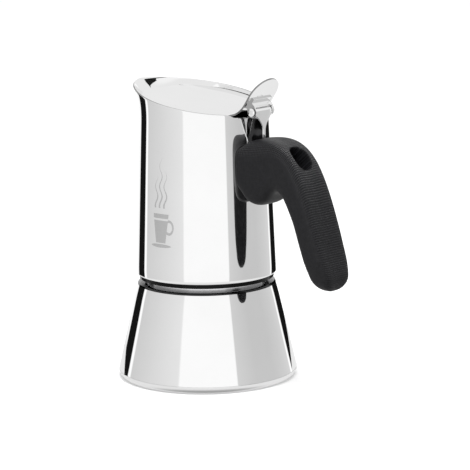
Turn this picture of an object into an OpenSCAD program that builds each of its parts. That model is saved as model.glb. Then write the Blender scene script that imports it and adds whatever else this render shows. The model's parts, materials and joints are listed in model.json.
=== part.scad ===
// Stovetop moka pot: a steel boiler, a funnel for the coffee, and an upper vessel with a
// hinged lid, a folded hinge bracket and a curved plastic handle.
// Origin: centre of the base's underside. +Z is up the pot's axis, the handle is at +X and
// the spout at -X.

/* [Boiler] */
// Diameter of the base at its widest
base_d = 80; // [70:1:110]
// Height of the layered base
base_h = 3.4; // [2.5:0.1:5]
// How far the boiler's shoulder stays inside the upper vessel's lower edge
shoulder_step = 0.3; // [0.1:0.05:2]
// Height of the boiler's shoulder
shoulder_z = 43.2; // [36:0.1:60]
// Wall of the boiler
boiler_wall = 0.8; // [0.6:0.1:1.5]
// Inside diameter of the boiler's mouth
mouth_d = 50; // [42:0.1:60]
// Height of the threaded neck above the shoulder
neck_h = 9.8; // [8:0.1:14]
// Wall of the neck under its thread
neck_wall = 1.7; // [1.2:0.1:3]
// Pitch of the thread
thread_pitch = 3; // [2:0.1:4]
// Depth of the thread
thread_depth = 0.5; // [0.3:0.05:0.8]

/* [Upper vessel] */
// Gap between the boiler's shoulder and the upper vessel
groove_h = 3.7; // [2:0.1:6]
// How much smaller the upper vessel's radius is at the rim than at its lower edge
rim_taper = 2.95; // [0.5:0.05:6]
// Height of the rim on the pot's axis
rim_z = 125.5; // [100:0.5:170]
// Tilt of the rim and the lid, in degrees
rim_tilt = 10; // [0:0.5:14]
// Wall of the upper vessel
vessel_wall = 0.7; // [0.5:0.1:1.2]
// How far the spout's lip reaches out past the rim
spout_reach = 10.6; // [6:0.1:16]
// Height of the spout's flare
spout_h = 16; // [10:1:30]
// Height of the threaded collar
collar_h = 11.4; // [9:0.1:14]
// Wall of the threaded collar
collar_wall = 2.1; // [1.5:0.1:4]
// Distance from the rim down to the top of the riser column
column_drop = 27.5; // [20:0.5:45]
// Outside diameter of the riser column at its foot
column_foot_d = 13; // [10:0.1:18]
// Outside diameter of the riser column at its top
column_top_d = 8.4; // [7:0.1:12]

/* [Funnel and seal] */
// Depth of the coffee cup in the funnel
cup_depth = 15; // [10:0.5:18]
// Wall of the funnel
funnel_wall = 0.6; // [0.4:0.1:1]
// Outside diameter of the funnel's stem
stem_d = 9; // [7:0.1:12]
// Gap between the stem's end and the boiler's floor
stem_gap = 2.5; // [1.5:0.1:6]
// Width of the gasket's ring
gasket_w = 6.3; // [4:0.1:9]
// Thickness of the gasket
gasket_h = 3; // [2:0.1:4]
// Diameter of the small holes in both filters
filter_hole_d = 1.2; // [0.8:0.1:1.6]

/* [Lid and hinge] */
// Thickness of the lid
lid_t = 0.8; // [0.6:0.1:1.2]
// Depth of the lid under the rim
lid_drop = 1.9; // [1:0.1:4]
// How far the lid's straight front edge is set back from its round edge
lid_setback = 2.75; // [1:0.05:8]
// Half width of the lid's neck and thumb tab
tab_half_w = 8.6; // [6:0.1:12]
// Radius of the lid's upward bend
bend_r = 13; // [8:0.1:18]
// Length of the thumb tab past the bend
tab_len = 13.6; // [8:0.1:20]
// Slope of the thumb tab, in degrees
tab_slope = 55; // [40:1:75]
// Distance from the rim out to the hinge pin
pin_out = 5.3; // [4.5:0.1:8]
// Distance from the rim's height on the axis down to the hinge pin
pin_drop = 3.4; // [2:0.1:5]
// Radius of the hinge pin
pin_r = 1.1; // [0.9:0.05:1.6]
// Half width of the bracket's knuckle
knuckle_half_w = 5; // [3:0.1:7]
// Sheet thickness of the bracket and the lid's leaf
sheet_t = 0.7; // [0.5:0.05:1]

/* [Handle] */
// Distance from the hinge pin down to the bracket's lug
lug_drop = 24.6; // [20:0.1:30]
// Half width of the handle
grip_half_w = 10.4; // [8:0.1:14]
// Length of the hanging hole along the handle
hole_len = 12; // [8:0.1:14]
// Width of the hanging hole
hole_w = 9; // [5:0.1:10]
// Radius of the handle screw's shank
screw_r = 1.5; // [1.2:0.05:1.6]

/* [Safety valve] */
// Height of the valve in the boiler's wall
valve_z = 27; // [20:0.5:34]
// Radius of the valve's barrel
valve_r = 3.5; // [3:0.1:5]
// Radius of the valve's ball
ball_r = 2; // [1.5:0.1:2.5]

/* [Hidden] */

// Clearances
fit_gap = 0.5;       // between turned or spun pieces that only have to pass
touch_gap = 0.05;    // between flat faces that rest on each other
pin_gap = 0.05;      // running fit of the hinge pin
swing_gap = 0.35;    // between sheets that swing past each other

// Boiler
base_r = base_d / 2;
base_round = base_h;
floor_z = base_h + boiler_wall;
mouth_r = mouth_d / 2;
neck_r = mouth_r + neck_wall;
neck_top_z = shoulder_z + neck_h;
core_inset = 2.5;

// Threaded collar, around the neck, and the upper vessel around the collar
thread_gap = 0.3;
collar_hole_r = neck_r + thread_depth * 2 + thread_gap;
collar_r = collar_hole_r + collar_wall;
collar_seat = 0.45;
vessel_z = shoulder_z + groove_h;
vessel_r = collar_r + collar_seat + vessel_wall;
rim_r = vessel_r - rim_taper;
column_top_z = rim_z - column_drop;
shoulder_r = vessel_r - shoulder_step;
shoulder_round = 1.2;
cone_slope = (base_r - shoulder_r) / (shoulder_z - base_h);
lower_round = 0.8;
spout_spread = 30.3;
spout_power = 1.23;
hinge_notch = 1.2;
notch_half = 19;
notch_fade = 8;

// Seal stack, from the neck's top upwards
flange_z = neck_top_z + touch_gap;
gasket_z = flange_z + funnel_wall + touch_gap;
under_floor_z = gasket_z + gasket_h + touch_gap;
collar_drop = 1.7;
collar_z = vessel_z - collar_drop;
flange_r = neck_r - 0.2;
gasket_r = collar_hole_r - thread_depth - 0.4;
gasket_hole_r = gasket_r - gasket_w;
plate_t = 0.8;
plate_r = gasket_hole_r - 0.3;
floor_t = 0.8;

// Funnel
cup_r = mouth_r - fit_gap;
cup_floor_z = flange_z + funnel_wall - cup_depth;
stem_r = stem_d / 2;
stem_z = floor_z + stem_gap;
cone_h = 6;

// Lid
lid_gap = 0.35;
lid_r = rim_r - vessel_wall - lid_gap;
lid_z = rim_z - lid_drop;
lid_front = lid_r - lid_setback;
bend_start_x = lid_r - 8.75;

// Hinge
pin_x = rim_r + pin_out;
pin_z = rim_z - pin_drop;
knuckle_r = pin_r + pin_gap + sheet_t;
web_out_x = pin_x + knuckle_r - 0.05;
web_in_x = web_out_x - sheet_t;
ear_in = knuckle_half_w + 0.3;
ear_out = ear_in + sheet_t;
pin_head_r = 1.9;
pin_head_h = 0.9;
web_narrow = 0.75;
web_flare_low = pin_z - 8;
web_flare_high = pin_z - 1.5;

// Handle: each section's outer point, inner point and width, from the root to the tip.
// The points are measured from the rim: outwards from its edge, and up from its height
SECTIONS = [
    [-6.3, -20.5, -6.3, -34.0, 0.98],
    [-1.3, -18.2, -0.8, -38.6, 1.00],
    [3.2, -16.2, 3.2, -42.6, 1.01],
    [8.2, -14.9, 8.2, -44.0, 1.01],
    [14.2, -14.3, 12.8, -42.3, 1.01],
    [19.9, -15.2, 16.9, -38.4, 1.00],
    [24.9, -17.9, 20.7, -36.9, 1.00],
    [29.2, -22.1, 23.9, -39.2, 1.00],
    [32.6, -27.3, 26.2, -42.7, 1.00],
    [35.9, -33.9, 28.3, -46.6, 1.00],
    [39.1, -41.9, 30.2, -50.7, 1.00],
    [42.1, -50.5, 32.1, -56.2, 1.00],
    [45.0, -59.3, 33.9, -61.7, 0.98],
    [47.3, -65.7, 35.2, -66.1, 0.93],
    [48.9, -70.7, 36.7, -70.6, 0.82]
];
section_steps = 3;
section_sides = 28;
section_power = 4.2;
tip_drop = 7.2;
tip_lean = 1.6;
tip_rings = 6;
body_gap = 0.15;

// Handle mount
lug_z = pin_z - lug_drop;
lug_h = 2.6;
screw_x = web_in_x - screw_r - 0.3;
screw_len = 12;
screw_seat = 8.5;
screw_head_r = screw_r * 1.8;
screw_head_h = 2.4;
slot_half_w = 0.35;
slot_depth = 1.4;
washer_t = 0.6;
washer_r = screw_r * 2;
screw_gap = 0.25;
tang_gap = 0.5;
tang_half_w = 3.3;

// Hanging hole
hole_x = rim_r + 27.9;
hole_z = rim_z - 21.7;
hole_axis = [0.757, 0, 0.653];

// Valve
valve_tilt = atan(cone_slope);
valve_face_r = base_r - (valve_z - base_h) * cone_slope;
valve_hex_r = 5;
valve_hex_h = 3;
valve_seat_r = 1.2;
valve_bore_r = ball_r + 0.15;
valve_inner_len = 6;
valve_lip = 1.2;
nut_h = 2.2;
washer_depth = boiler_wall + 0.35;
valve_washer_t = 0.8;
nut_r = 5.2;
ball_travel = 1.2;
cap_h = 1.6;
spring_wire = 0.25;
spring_turns = 2.5;
spring_sides = 8;
spring_steps = 16;

$fn = 96;

// ---- shared functions ----

function vessel_r_at(z) = vessel_r + (rim_r - vessel_r) * (z - vessel_z) / (rim_z - vessel_z);
function rim_plane(x, z0) = z0 - tan(rim_tilt) * x;
function lerp(a, b, t) = a + (b - a) * t;
function smooth(t) = t <= 0 ? 0 : t >= 1 ? 1 : t * t * (3 - 2 * t);

// Angle from the spout, 0 at the spout and 180 at the handle
function from_spout(a) = abs(180 - a);
function spout_bump(a) = spout_reach * exp(-pow(from_spout(a) / spout_spread, spout_power));
function notch_at(a) = hinge_notch * (1 - smooth((180 - from_spout(a) - notch_half) / notch_fade));
function rim_z_at(a) = rim_z + tan(rim_tilt) * rim_r * cos(from_spout(a)) - notch_at(a);
function flare(a, z) = pow(max(0, 1 - (rim_z_at(a) - z) / spout_h), 3);
function wall_r(a, z, inset) = vessel_r_at(z) - inset + spout_bump(a) * flare(a, z);
function ring_point(a, z, inset) = [wall_r(a, z, inset) * cos(a), wall_r(a, z, inset) * sin(a), z];

// Catmull-Rom curve through a list of controls
function spline(p, i, t) =
    let (a = p[max(i - 1, 0)], b = p[i], c = p[i + 1], d = p[min(i + 2, len(p) - 1)])
    0.5 * (2 * b + (c - a) * t + (2 * a - 5 * b + 4 * c - d) * t * t
        + (3 * b - a - 3 * c + d) * t * t * t);

// Closed skin over rings of points that all have the same count
module skin(rings) {
    n = len(rings[0]);
    last = len(rings) - 1;
    points = [for (r = rings) for (p = r) p];
    sides = [for (i = [0:last - 1]) for (j = [0:n - 1])
        let (a = i * n + j, b = i * n + (j + 1) % n)
        each [[a, b + n, b], [a, a + n, b + n]]];
    ends = [[for (j = [0:n - 1]) j], [for (j = [n - 1:-1:0]) last * n + j]];
    polyhedron(points, concat(sides, ends), convexity = 10);
}

// Closed loop of rings, such as a shell whose outside and inside meet at both edges
module loop_skin(rings) {
    n = len(rings[0]);
    m = len(rings);
    points = [for (r = rings) for (p = r) p];
    faces = [for (i = [0:m - 1]) for (j = [0:n - 1])
        let (k = (i + 1) % m, a = i * n + j, b = i * n + (j + 1) % n, c = k * n + (j + 1) % n, d = k * n + j)
        each [[a, c, b], [a, d, c]]];
    polyhedron(points, faces, convexity = 10);
}

// Stack of round ridges on a cylinder, inwards or outwards
module ridges(r, z0, z1, out) {
    for (z = [z0:thread_pitch:z1])
        rotate_extrude()
            polygon([[r - 0.1 * out, z - thread_pitch / 3], [r + thread_depth * out, z - 0.2],
                [r + thread_depth * out, z + 0.2], [r - 0.1 * out, z + thread_pitch / 3]]);
}

// Rings of small holes
module hole_field(r_max, pitch, z, h) {
    for (k = [1:floor(r_max / pitch)])
        for (j = [0:6 * k - 1])
            rotate([0, 0, j * 60 / k])
                translate([k * pitch, 0, z])
                    cylinder(r = filter_hole_d / 2, h = h, $fn = 24);
    translate([0, 0, z])
        cylinder(r = filter_hole_d / 2, h = h, $fn = 24);
}

// ---- boiler ----

module base_cap() {
    color("gainsboro")
        rotate_extrude()
            difference() {
                union() {
                    translate([base_r - base_round, base_round])
                        intersection() {
                            circle(base_round);
                            translate([0, -base_round])
                                square(base_round);
                        }
                    square([base_r - base_round, base_h]);
                }
                translate([0, boiler_wall])
                    square([base_r - core_inset, base_h]);
            }
}

module base_core() {
    color("silver")
        translate([0, 0, boiler_wall])
            cylinder(r = base_r - core_inset, h = base_h - boiler_wall);
}

module boiler_shell() {
    color("gainsboro")
        difference() {
            rotate_extrude()
                difference() {
                    polygon(concat(
                        [[0, base_h], [base_r, base_h]],
                        [for (t = [0:15:90 - valve_tilt])
                            [shoulder_r - shoulder_round * (1 - cos(t)), shoulder_z - shoulder_round * (1 - sin(t))]],
                        [[shoulder_r - shoulder_round, shoulder_z], [0, shoulder_z]]));
                    polygon([[0, floor_z],
                        [base_r - boiler_wall - cone_slope * boiler_wall, floor_z],
                        [shoulder_r - boiler_wall, shoulder_z - shoulder_round],
                        [shoulder_r - boiler_wall - shoulder_round, shoulder_z - boiler_wall],
                        [0, shoulder_z - boiler_wall]]);
                }
            translate([0, 0, shoulder_z - 2 * boiler_wall])
                cylinder(r = mouth_r, h = 3 * boiler_wall);
            valve_place()
                translate([0, 0, -5])
                    cylinder(r = valve_r, h = 10);
        }
}

module boiler_neck() {
    color("silver") {
        translate([0, 0, shoulder_z])
            difference() {
                cylinder(r = neck_r, h = neck_h);
                translate([0, 0, -1])
                    cylinder(r = mouth_r, h = neck_h + 2);
            }
        ridges(neck_r, shoulder_z + 4.2, neck_top_z - 1.2, 1);
    }
}

// ---- safety valve, built upright with its outside end up ----

module valve_place() {
    translate([-valve_face_r, 0, valve_z])
        rotate([0, -90 + valve_tilt, 0])
            children();
}

module valve_body() {
    color("goldenrod")
        valve_place()
            difference() {
                union() {
                    cylinder(r = valve_hex_r, h = valve_hex_h, $fn = 6);
                    translate([0, 0, -valve_inner_len])
                        cylinder(r = valve_r, h = valve_inner_len + 0.1);
                }
                translate([0, 0, -valve_inner_len + valve_lip])
                    cylinder(r = valve_bore_r, h = valve_inner_len + valve_hex_h);
                translate([0, 0, -valve_inner_len - 1])
                    cylinder(r = valve_seat_r, h = valve_lip + 2);
            }
}

module valve_washer() {
    color("firebrick")
        valve_place()
            translate([0, 0, -washer_depth - valve_washer_t])
                difference() {
                    cylinder(r = valve_r + 1.2, h = valve_washer_t);
                    translate([0, 0, -1])
                        cylinder(r = valve_r, h = 3);
                }
}

module valve_nut() {
    color("goldenrod")
        valve_place()
            translate([0, 0, -washer_depth - valve_washer_t - nut_h])
                difference() {
                    cylinder(r = nut_r, h = nut_h, $fn = 6);
                    translate([0, 0, -1])
                        cylinder(r = valve_r, h = nut_h + 2);
                }
}

ball_seat_z = -valve_inner_len + valve_lip + sqrt(ball_r * ball_r - valve_seat_r * valve_seat_r) + 0.02;

module valve_ball() {
    color("silver")
        valve_place()
            translate([0, 0, ball_seat_z])
                sphere(r = ball_r);
}

module valve_spring() {
    low = ball_seat_z + ball_r * 0.75 + spring_wire;
    high = valve_hex_h - cap_h - spring_wire - 0.05;
    coil_r = ball_r - spring_wire - 0.2;
    count = spring_turns * spring_steps;
    color("lightsteelblue")
        valve_place()
            skin([for (k = [0:count])
                let (a = k * 360 / spring_steps, z = lerp(low, high, k / count))
                [for (j = [0:spring_sides - 1])
                    let (b = -j * 360 / spring_sides, r = coil_r + spring_wire * cos(b))
                    [r * cos(a), r * sin(a), z + spring_wire * sin(b)]]]);
}

module valve_cap() {
    color("goldenrod")
        valve_place()
            translate([0, 0, valve_hex_h - cap_h])
                difference() {
                    union() {
                        cylinder(r = valve_bore_r, h = cap_h + 0.4);
                        translate([0, 0, cap_h])
                            cylinder(r = valve_bore_r + 0.8, h = 0.6);
                    }
                    translate([0, 0, -1])
                        cylinder(r = 0.9, h = cap_h + 3);
                }
}

// ---- funnel and seal ----

module funnel() {
    color("silver")
        difference() {
            rotate_extrude()
                difference() {
                    polygon([[0, cup_floor_z], [cup_r, cup_floor_z], [cup_r, flange_z],
                        [flange_r, flange_z], [flange_r, flange_z + funnel_wall], [0, flange_z + funnel_wall]]);
                    translate([0, cup_floor_z + funnel_wall])
                        square([cup_r - funnel_wall, cup_depth]);
                }
            translate([0, 0, cup_floor_z - 1])
                cylinder(r = cup_r - 2.5, h = 3);
        }
    color("silver")
        rotate_extrude()
            polygon([[cup_r - 2.5, cup_floor_z + funnel_wall], [cup_r - 0.5, cup_floor_z + 0.1],
                [stem_r, cup_floor_z - cone_h], [stem_r, stem_z], [stem_r - funnel_wall, stem_z],
                [stem_r - funnel_wall, cup_floor_z - cone_h + 0.3]]);
}

module funnel_filter() {
    color("gray")
        difference() {
            translate([0, 0, cup_floor_z + funnel_wall])
                cylinder(r = cup_r - funnel_wall - 0.1, h = plate_t);
            hole_field(cup_r - 5, 4.2, cup_floor_z, 4);
        }
}

module gasket() {
    color("whitesmoke")
        translate([0, 0, gasket_z])
            difference() {
                cylinder(r = gasket_r, h = gasket_h);
                translate([0, 0, -1])
                    cylinder(r = gasket_hole_r, h = gasket_h + 2);
            }
}

module filter_plate() {
    color("silver")
        difference() {
            translate([0, 0, gasket_z + 0.8])
                cylinder(r = plate_r, h = plate_t);
            hole_field(plate_r - 2.5, 4.2, gasket_z, 4);
        }
}

// ---- upper vessel ----

module vessel_shell() {
    sides = 96;
    flare_levels = [for (k = [0:9]) k / 9];
    low = vessel_z;
    function heights(a) = concat([low + lower_round], [for (k = flare_levels)
        rim_z_at(a) - spout_h * (1 - k)]);
    function outer(a, i) = ring_point(a, heights(a)[i], 0);
    function inner(a, i) = ring_point(a, heights(a)[i], vessel_wall);
    angles = [for (j = [0:sides - 1]) j * 360 / sides];
    rings = concat(
        [[for (a = angles) [(vessel_r - lower_round) * cos(a), (vessel_r - lower_round) * sin(a), low]]],
        [for (i = [0:10]) [for (a = angles) outer(a, i)]],
        [for (i = [10:-1:0]) [for (a = angles) inner(a, i)]],
        [[for (a = angles) [(collar_r + touch_gap) * cos(a), (collar_r + touch_gap) * sin(a), low]]]);
    color("gainsboro")
        loop_skin(rings);
}

module threaded_collar() {
    color("silver") {
        translate([0, 0, collar_z])
            difference() {
                cylinder(r = collar_r, h = collar_h);
                translate([0, 0, -1])
                    cylinder(r = collar_hole_r, h = collar_h + 2);
            }
        ridges(collar_hole_r, collar_z + 3, under_floor_z - 3.5, -1);
    }
}

module vessel_floor() {
    color("silver")
        translate([0, 0, under_floor_z])
            difference() {
                cylinder(r = vessel_r_at(under_floor_z) - vessel_wall, h = floor_t);
                translate([0, 0, -1])
                    cylinder(r = column_foot_d / 2 - 1.2, h = 4);
            }
}

module riser_column() {
    foot_r = column_foot_d / 2;
    top_r = column_top_d / 2;
    foot_z = under_floor_z + floor_t;
    color("silver")
        rotate_extrude()
            polygon([[foot_r + 4, foot_z], [foot_r + 4, foot_z + 0.6], [foot_r + 1.5, foot_z + 1.2],
                [foot_r, foot_z + 4], [top_r, column_top_z], [top_r - 1, column_top_z],
                [foot_r - 1.2, foot_z + 4], [foot_r - 1.2, foot_z]]);
}

module column_cap() {
    top_r = column_top_d / 2;
    color("silver")
        difference() {
            union() {
                translate([0, 0, column_top_z - 7])
                    cylinder(r = top_r + 1.1, h = 10);
                translate([0, 0, column_top_z + 3])
                    intersection() {
                        sphere(r = top_r + 1.1);
                        cylinder(r = top_r + 2, h = 10);
                    }
            }
            translate([0, 0, column_top_z - 8])
                cylinder(r = top_r + 0.35, h = 11);
            for (side = [-1, 1])
                translate([0, side * 4, column_top_z + 2.2])
                    rotate([90, 0, 0])
                        cylinder(r = 1.6, h = 8, center = true, $fn = 48);
        }
}

// ---- hinge bracket: knuckle, tapering web, two gussets and a lug for the handle's screw ----

function web_half(z) = z <= web_flare_low ? web_narrow
    : web_narrow + (knuckle_half_w - web_narrow)
        * pow(min(1, (z - web_flare_low) / (web_flare_high - web_flare_low)), 1.7);

module web_outline() {
    steps = 10;
    side = [for (k = [0:steps])
        let (z = lerp(web_flare_low, web_flare_high, k / steps)) [web_half(z), z]];
    polygon(concat([[web_narrow, lug_z + 0.5]], side, [[knuckle_half_w, pin_z]],
        [[-knuckle_half_w, pin_z]], [for (k = [steps:-1:0]) [-side[k][0], side[k][1]]],
        [[-web_narrow, lug_z + 0.5]]));
}

module gusset(side) {
    low_z = lug_z + 0.3;
    high_z = pin_z - 2.3;
    weld_z = rim_z - 16;
    steps = 8;
    function free_x(z) = z < weld_z ? vessel_r_at(z) + 0.02
        : lerp(vessel_r_at(weld_z) + 0.02, pin_x - 0.3, (z - weld_z) / (high_z - weld_z));
    function free_y(z) = z < weld_z ? tang_half_w
        : lerp(tang_half_w, knuckle_half_w, (z - weld_z) / (high_z - weld_z));
    rings = [for (k = [0:steps])
        let (z = k == 0 ? low_z : lerp(web_flare_low - 4, high_z, (k - 1) / (steps - 1)),
            inner = [free_x(z), free_y(z)],
            outer = [web_in_x + sheet_t / 2, web_half(z) - 0.08])
        [[inner[0], side * (inner[1] - sheet_t), z],
            [outer[0], side * max(outer[1] - sheet_t, 0.12), z],
            [outer[0], side * outer[1], z], [inner[0], side * inner[1], z]]];
    if (side > 0)
        skin(rings);
    else
        skin([for (r = rings) [r[3], r[2], r[1], r[0]]]);
}

module hinge_bracket() {
    color("gainsboro")
        difference() {
            union() {
                translate([pin_x, 0, pin_z])
                    rotate([90, 0, 0])
                        cylinder(r = knuckle_r, h = 2 * knuckle_half_w, center = true);
                translate([web_in_x, 0, 0])
                    rotate([90, 0, 90])
                        linear_extrude(sheet_t)
                            web_outline();
                gusset(1);
                gusset(-1);
                translate([vessel_r_at(lug_z) + 0.3, -tang_half_w, lug_z])
                    cube([web_out_x - vessel_r_at(lug_z) - 0.3, 2 * tang_half_w, lug_h]);
            }
            translate([pin_x, 0, pin_z])
                rotate([90, 0, 0])
                    cylinder(r = pin_r + pin_gap, h = 4 * knuckle_half_w, center = true);
            translate([screw_x, 0, lug_z - 1])
                cylinder(r = screw_r, h = lug_h + 3);
        }
}

// ---- handle ----

// A section's points, from the rim's own edge and height
function placed(s) = [rim_r + s[0], rim_z + s[1], rim_r + s[2], rim_z + s[3], s[4]];

function section_ring(s, scale_w) =
    let (c = [(s[0] + s[2]) / 2, (s[1] + s[3]) / 2], h = [(s[0] - s[2]) / 2, (s[1] - s[3]) / 2],
        w = grip_half_w * s[4])
    [for (j = [0:section_sides - 1])
        let (a = -j * 360 / section_sides, e = 2 / section_power,
            u = sign(cos(a)) * pow(abs(cos(a)), e), v = sign(sin(a)) * pow(abs(sin(a)), e))
        [c[0] + h[0] * u * scale_w, w * v * scale_w, c[1] + h[1] * u * scale_w]];

module grip_solid() {
    count = len(SECTIONS);
    controls = [for (s = SECTIONS) placed(s)];
    last = controls[count - 1];
    path = concat([for (i = [0:count - 2]) for (k = [0:section_steps - 1])
        spline(controls, i, k / section_steps)], [last]);
    body = [for (s = path) section_ring(s, 1)];
    tip = [for (k = [1:tip_rings])
        let (t = k * 88 / tip_rings, sink = tip_drop * sin(t), lean = tip_lean * sin(t))
        section_ring([last[0] + lean * 0.6, last[1] - sink, last[2] + lean * 1.6, last[3] - sink, last[4]],
            pow(cos(t), 0.9))];
    skin(concat(body, tip));
}

module handle_grip() {
    tang_x = vessel_r_at(lug_z) - 2;
    color("#2c2c2c")
        difference() {
            grip_solid();
            // seat against the upper vessel
            translate([0, 0, vessel_z])
                cylinder(r1 = vessel_r + body_gap, r2 = rim_r + body_gap, h = rim_z - vessel_z);
            // pocket for the bracket
            translate([tang_x, -tang_half_w - tang_gap, lug_z])
                cube([web_out_x + tang_gap - tang_x, 2 * (tang_half_w + tang_gap), 20]);
            // screw and its head
            translate([screw_x, 0, lug_z - 20])
                cylinder(r = screw_r + screw_gap, h = 22);
            translate([screw_x, 0, lug_z - screw_seat - 20])
                cylinder(r = washer_r + screw_gap, h = 20);
            // hanging hole
            translate([hole_x, 0, hole_z])
                rotate([0, atan2(hole_axis[0], hole_axis[2]), 0]) {
                    for (s = [-1, 1])
                        translate([s * (hole_len - hole_w) / 2, 0, -16])
                            cylinder(r = hole_w / 2, h = 32);
                    translate([-(hole_len - hole_w) / 2, -hole_w / 2, -16])
                        cube([hole_len - hole_w, hole_w, 32]);
                }
        }
}

module handle_washer() {
    color("silver")
        translate([screw_x, 0, lug_z - screw_seat - washer_t])
            difference() {
                cylinder(r = washer_r, h = washer_t);
                translate([0, 0, -1])
                    cylinder(r = screw_r + screw_gap, h = 3);
            }
}

module handle_screw() {
    color("silver")
        translate([screw_x, 0, lug_z - screw_seat - washer_t])
            difference() {
                union() {
                    cylinder(r = screw_r, h = screw_len);
                    translate([0, 0, -screw_head_h])
                        cylinder(r = screw_head_r, h = screw_head_h);
                }
                for (a = [0, 90])
                    rotate([0, 0, a])
                        translate([-screw_r, -slot_half_w, -screw_head_h - 1])
                            cube([2 * screw_r, 2 * slot_half_w, slot_depth + 1]);
            }
}

// ---- lid ----

bend_cx = bend_start_x + bend_r * sin(rim_tilt);
bend_cz = rim_plane(bend_start_x, lid_z) + bend_r * cos(rim_tilt);

// Side profile of the neck and the thumb tab, offset down by d
function bend_side(d) = concat(
    [for (k = [0:12]) let (a = lerp(-rim_tilt, tab_slope, k / 12))
        [bend_cx + (bend_r + d) * sin(a), bend_cz - (bend_r + d) * cos(a)]],
    [[bend_cx + (bend_r + d) * sin(tab_slope) + tab_len * cos(tab_slope),
        bend_cz - (bend_r + d) * cos(tab_slope) + tab_len * sin(tab_slope)]]);

module lid_plate() {
    color("gainsboro") {
        // round plate with a straight front
        intersection() {
            translate([0, 0, lid_z])
                rotate([0, rim_tilt, 0])
                    translate([-60, -60, -lid_t])
                        cube([120, 120, lid_t]);
            difference() {
                translate([0, 0, lid_z - 20])
                    cylinder(r = lid_r, h = 40);
                translate([-lid_front - 40, -40, lid_z - 30])
                    cube([40, 80, 60]);
                translate([bend_start_x + 0.5, -40, lid_z - 30])
                    cube([40, 80, 60]);
            }
        }
        // neck that bends up into the thumb tab
        intersection() {
            rotate([90, 0, 0])
                linear_extrude(40, center = true)
                    polygon(concat(bend_side(0), [for (k = [13:-1:0]) bend_side(lid_t)[k]]));
            union() {
                translate([bend_start_x - 1, -tab_half_w, lid_z - 10])
                    cube([bend_r + 2, 2 * tab_half_w, 30]);
                translate([0, 0, lid_z - 10])
                    linear_extrude(30)
                        intersection() {
                            circle(lid_r);
                            translate([bend_start_x - 1, -20])
                                square([8, 40]);
                        }
                // rounded end of the tab
                translate([bend_cx + bend_r * sin(tab_slope), 0, bend_cz - bend_r * cos(tab_slope)])
                    rotate([0, -tab_slope, 0])
                        translate([0, 0, -3])
                            linear_extrude(6) {
                                translate([-2, -tab_half_w])
                                    square([tab_len - tab_half_w + 2, 2 * tab_half_w]);
                                translate([tab_len - tab_half_w, 0])
                                    circle(tab_half_w);
                            }
            }
        }
    }
}

// The leaf is welded to the tab's back: a cross plate over the knuckle and an ear on each side
module lid_leaf() {
    lean = 41;
    near = knuckle_r + swing_gap;
    weld_len = 2;
    back_x = bend_cx + (bend_r + lid_t) * sin(tab_slope);
    back_z = bend_cz - (bend_r + lid_t) * cos(tab_slope);
    t = [-cos(lean), sin(lean)];
    n = [sin(lean), cos(lean)];
    g = [cos(tab_slope), sin(tab_slope)];
    m = [sin(tab_slope), -cos(tab_slope)];
    // the plate stops short of the knuckle's crown, so that it clears the web when the lid is open
    start = [pin_x, pin_z] + near * n + 0.8 * t;
    reach = ((start[0] - back_x) * m[0] + (start[1] - back_z) * m[1]) / -(t[0] * m[0] + t[1] * m[1]);
    foot = start + reach * t;
    color("gainsboro")
        rotate([90, 0, 0]) {
            linear_extrude(2 * ear_out, center = true)
                polygon([start, foot, foot + sheet_t * n, start + sheet_t * n]);
            linear_extrude(2 * ear_out, center = true)
                polygon([foot - 0.05 * m, foot + (weld_len + sheet_t) * g - 0.05 * m,
                    foot + (weld_len + sheet_t) * g + sheet_t * m, foot + sheet_t * g + sheet_t * m,
                    foot + sheet_t * m]);
            for (side = [-1, 1])
                translate([0, 0, side * (ear_in + ear_out) / 2])
                    linear_extrude(sheet_t, center = true)
                        difference() {
                            union() {
                                translate([pin_x, pin_z])
                                    circle(r = pin_r + 1.3);
                                polygon([[pin_x - 2.3, pin_z - 0.7], [pin_x - 2.9, pin_z + 1.6],
                                    foot, foot + sheet_t * n, start + sheet_t * n,
                                    [pin_x + 2.4, pin_z]]);
                            }
                            translate([pin_x, pin_z])
                                circle(r = pin_r);
                        }
        }
}

module hinge_pin() {
    color("gainsboro")
        translate([pin_x, 0, pin_z])
            rotate([90, 0, 0]) {
                cylinder(r = pin_r, h = 2 * ear_out + 0.2, center = true);
                for (side = [-1, 1])
                    rotate([side < 0 ? 180 : 0, 0, 0])
                        translate([0, 0, ear_out])
                            rotate_extrude()
                                polygon(concat([[0, 0]],
                                    [for (a = [0:15:90]) [pin_head_r * cos(a), pin_head_h * (0.35 + 0.65 * sin(a))]],
                                    [[0, pin_head_h]]));
            }
}

base_cap();
base_core();
boiler_shell();
boiler_neck();
valve_body();
valve_nut();
valve_washer();
valve_spring();
valve_ball();
valve_cap();
funnel();
funnel_filter();
gasket();
filter_plate();
vessel_shell();
threaded_collar();
vessel_floor();
riser_column();
column_cap();
hinge_bracket();
handle_grip();
handle_screw();
handle_washer();
lid_plate();
lid_leaf();
hinge_pin();
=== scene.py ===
import json
import math

import bmesh
import bpy
from bpy.props import FloatProperty, FloatVectorProperty, IntProperty, PointerProperty
from mathutils import Matrix, Vector
from mathutils.bvhtree import BVHTree


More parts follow.
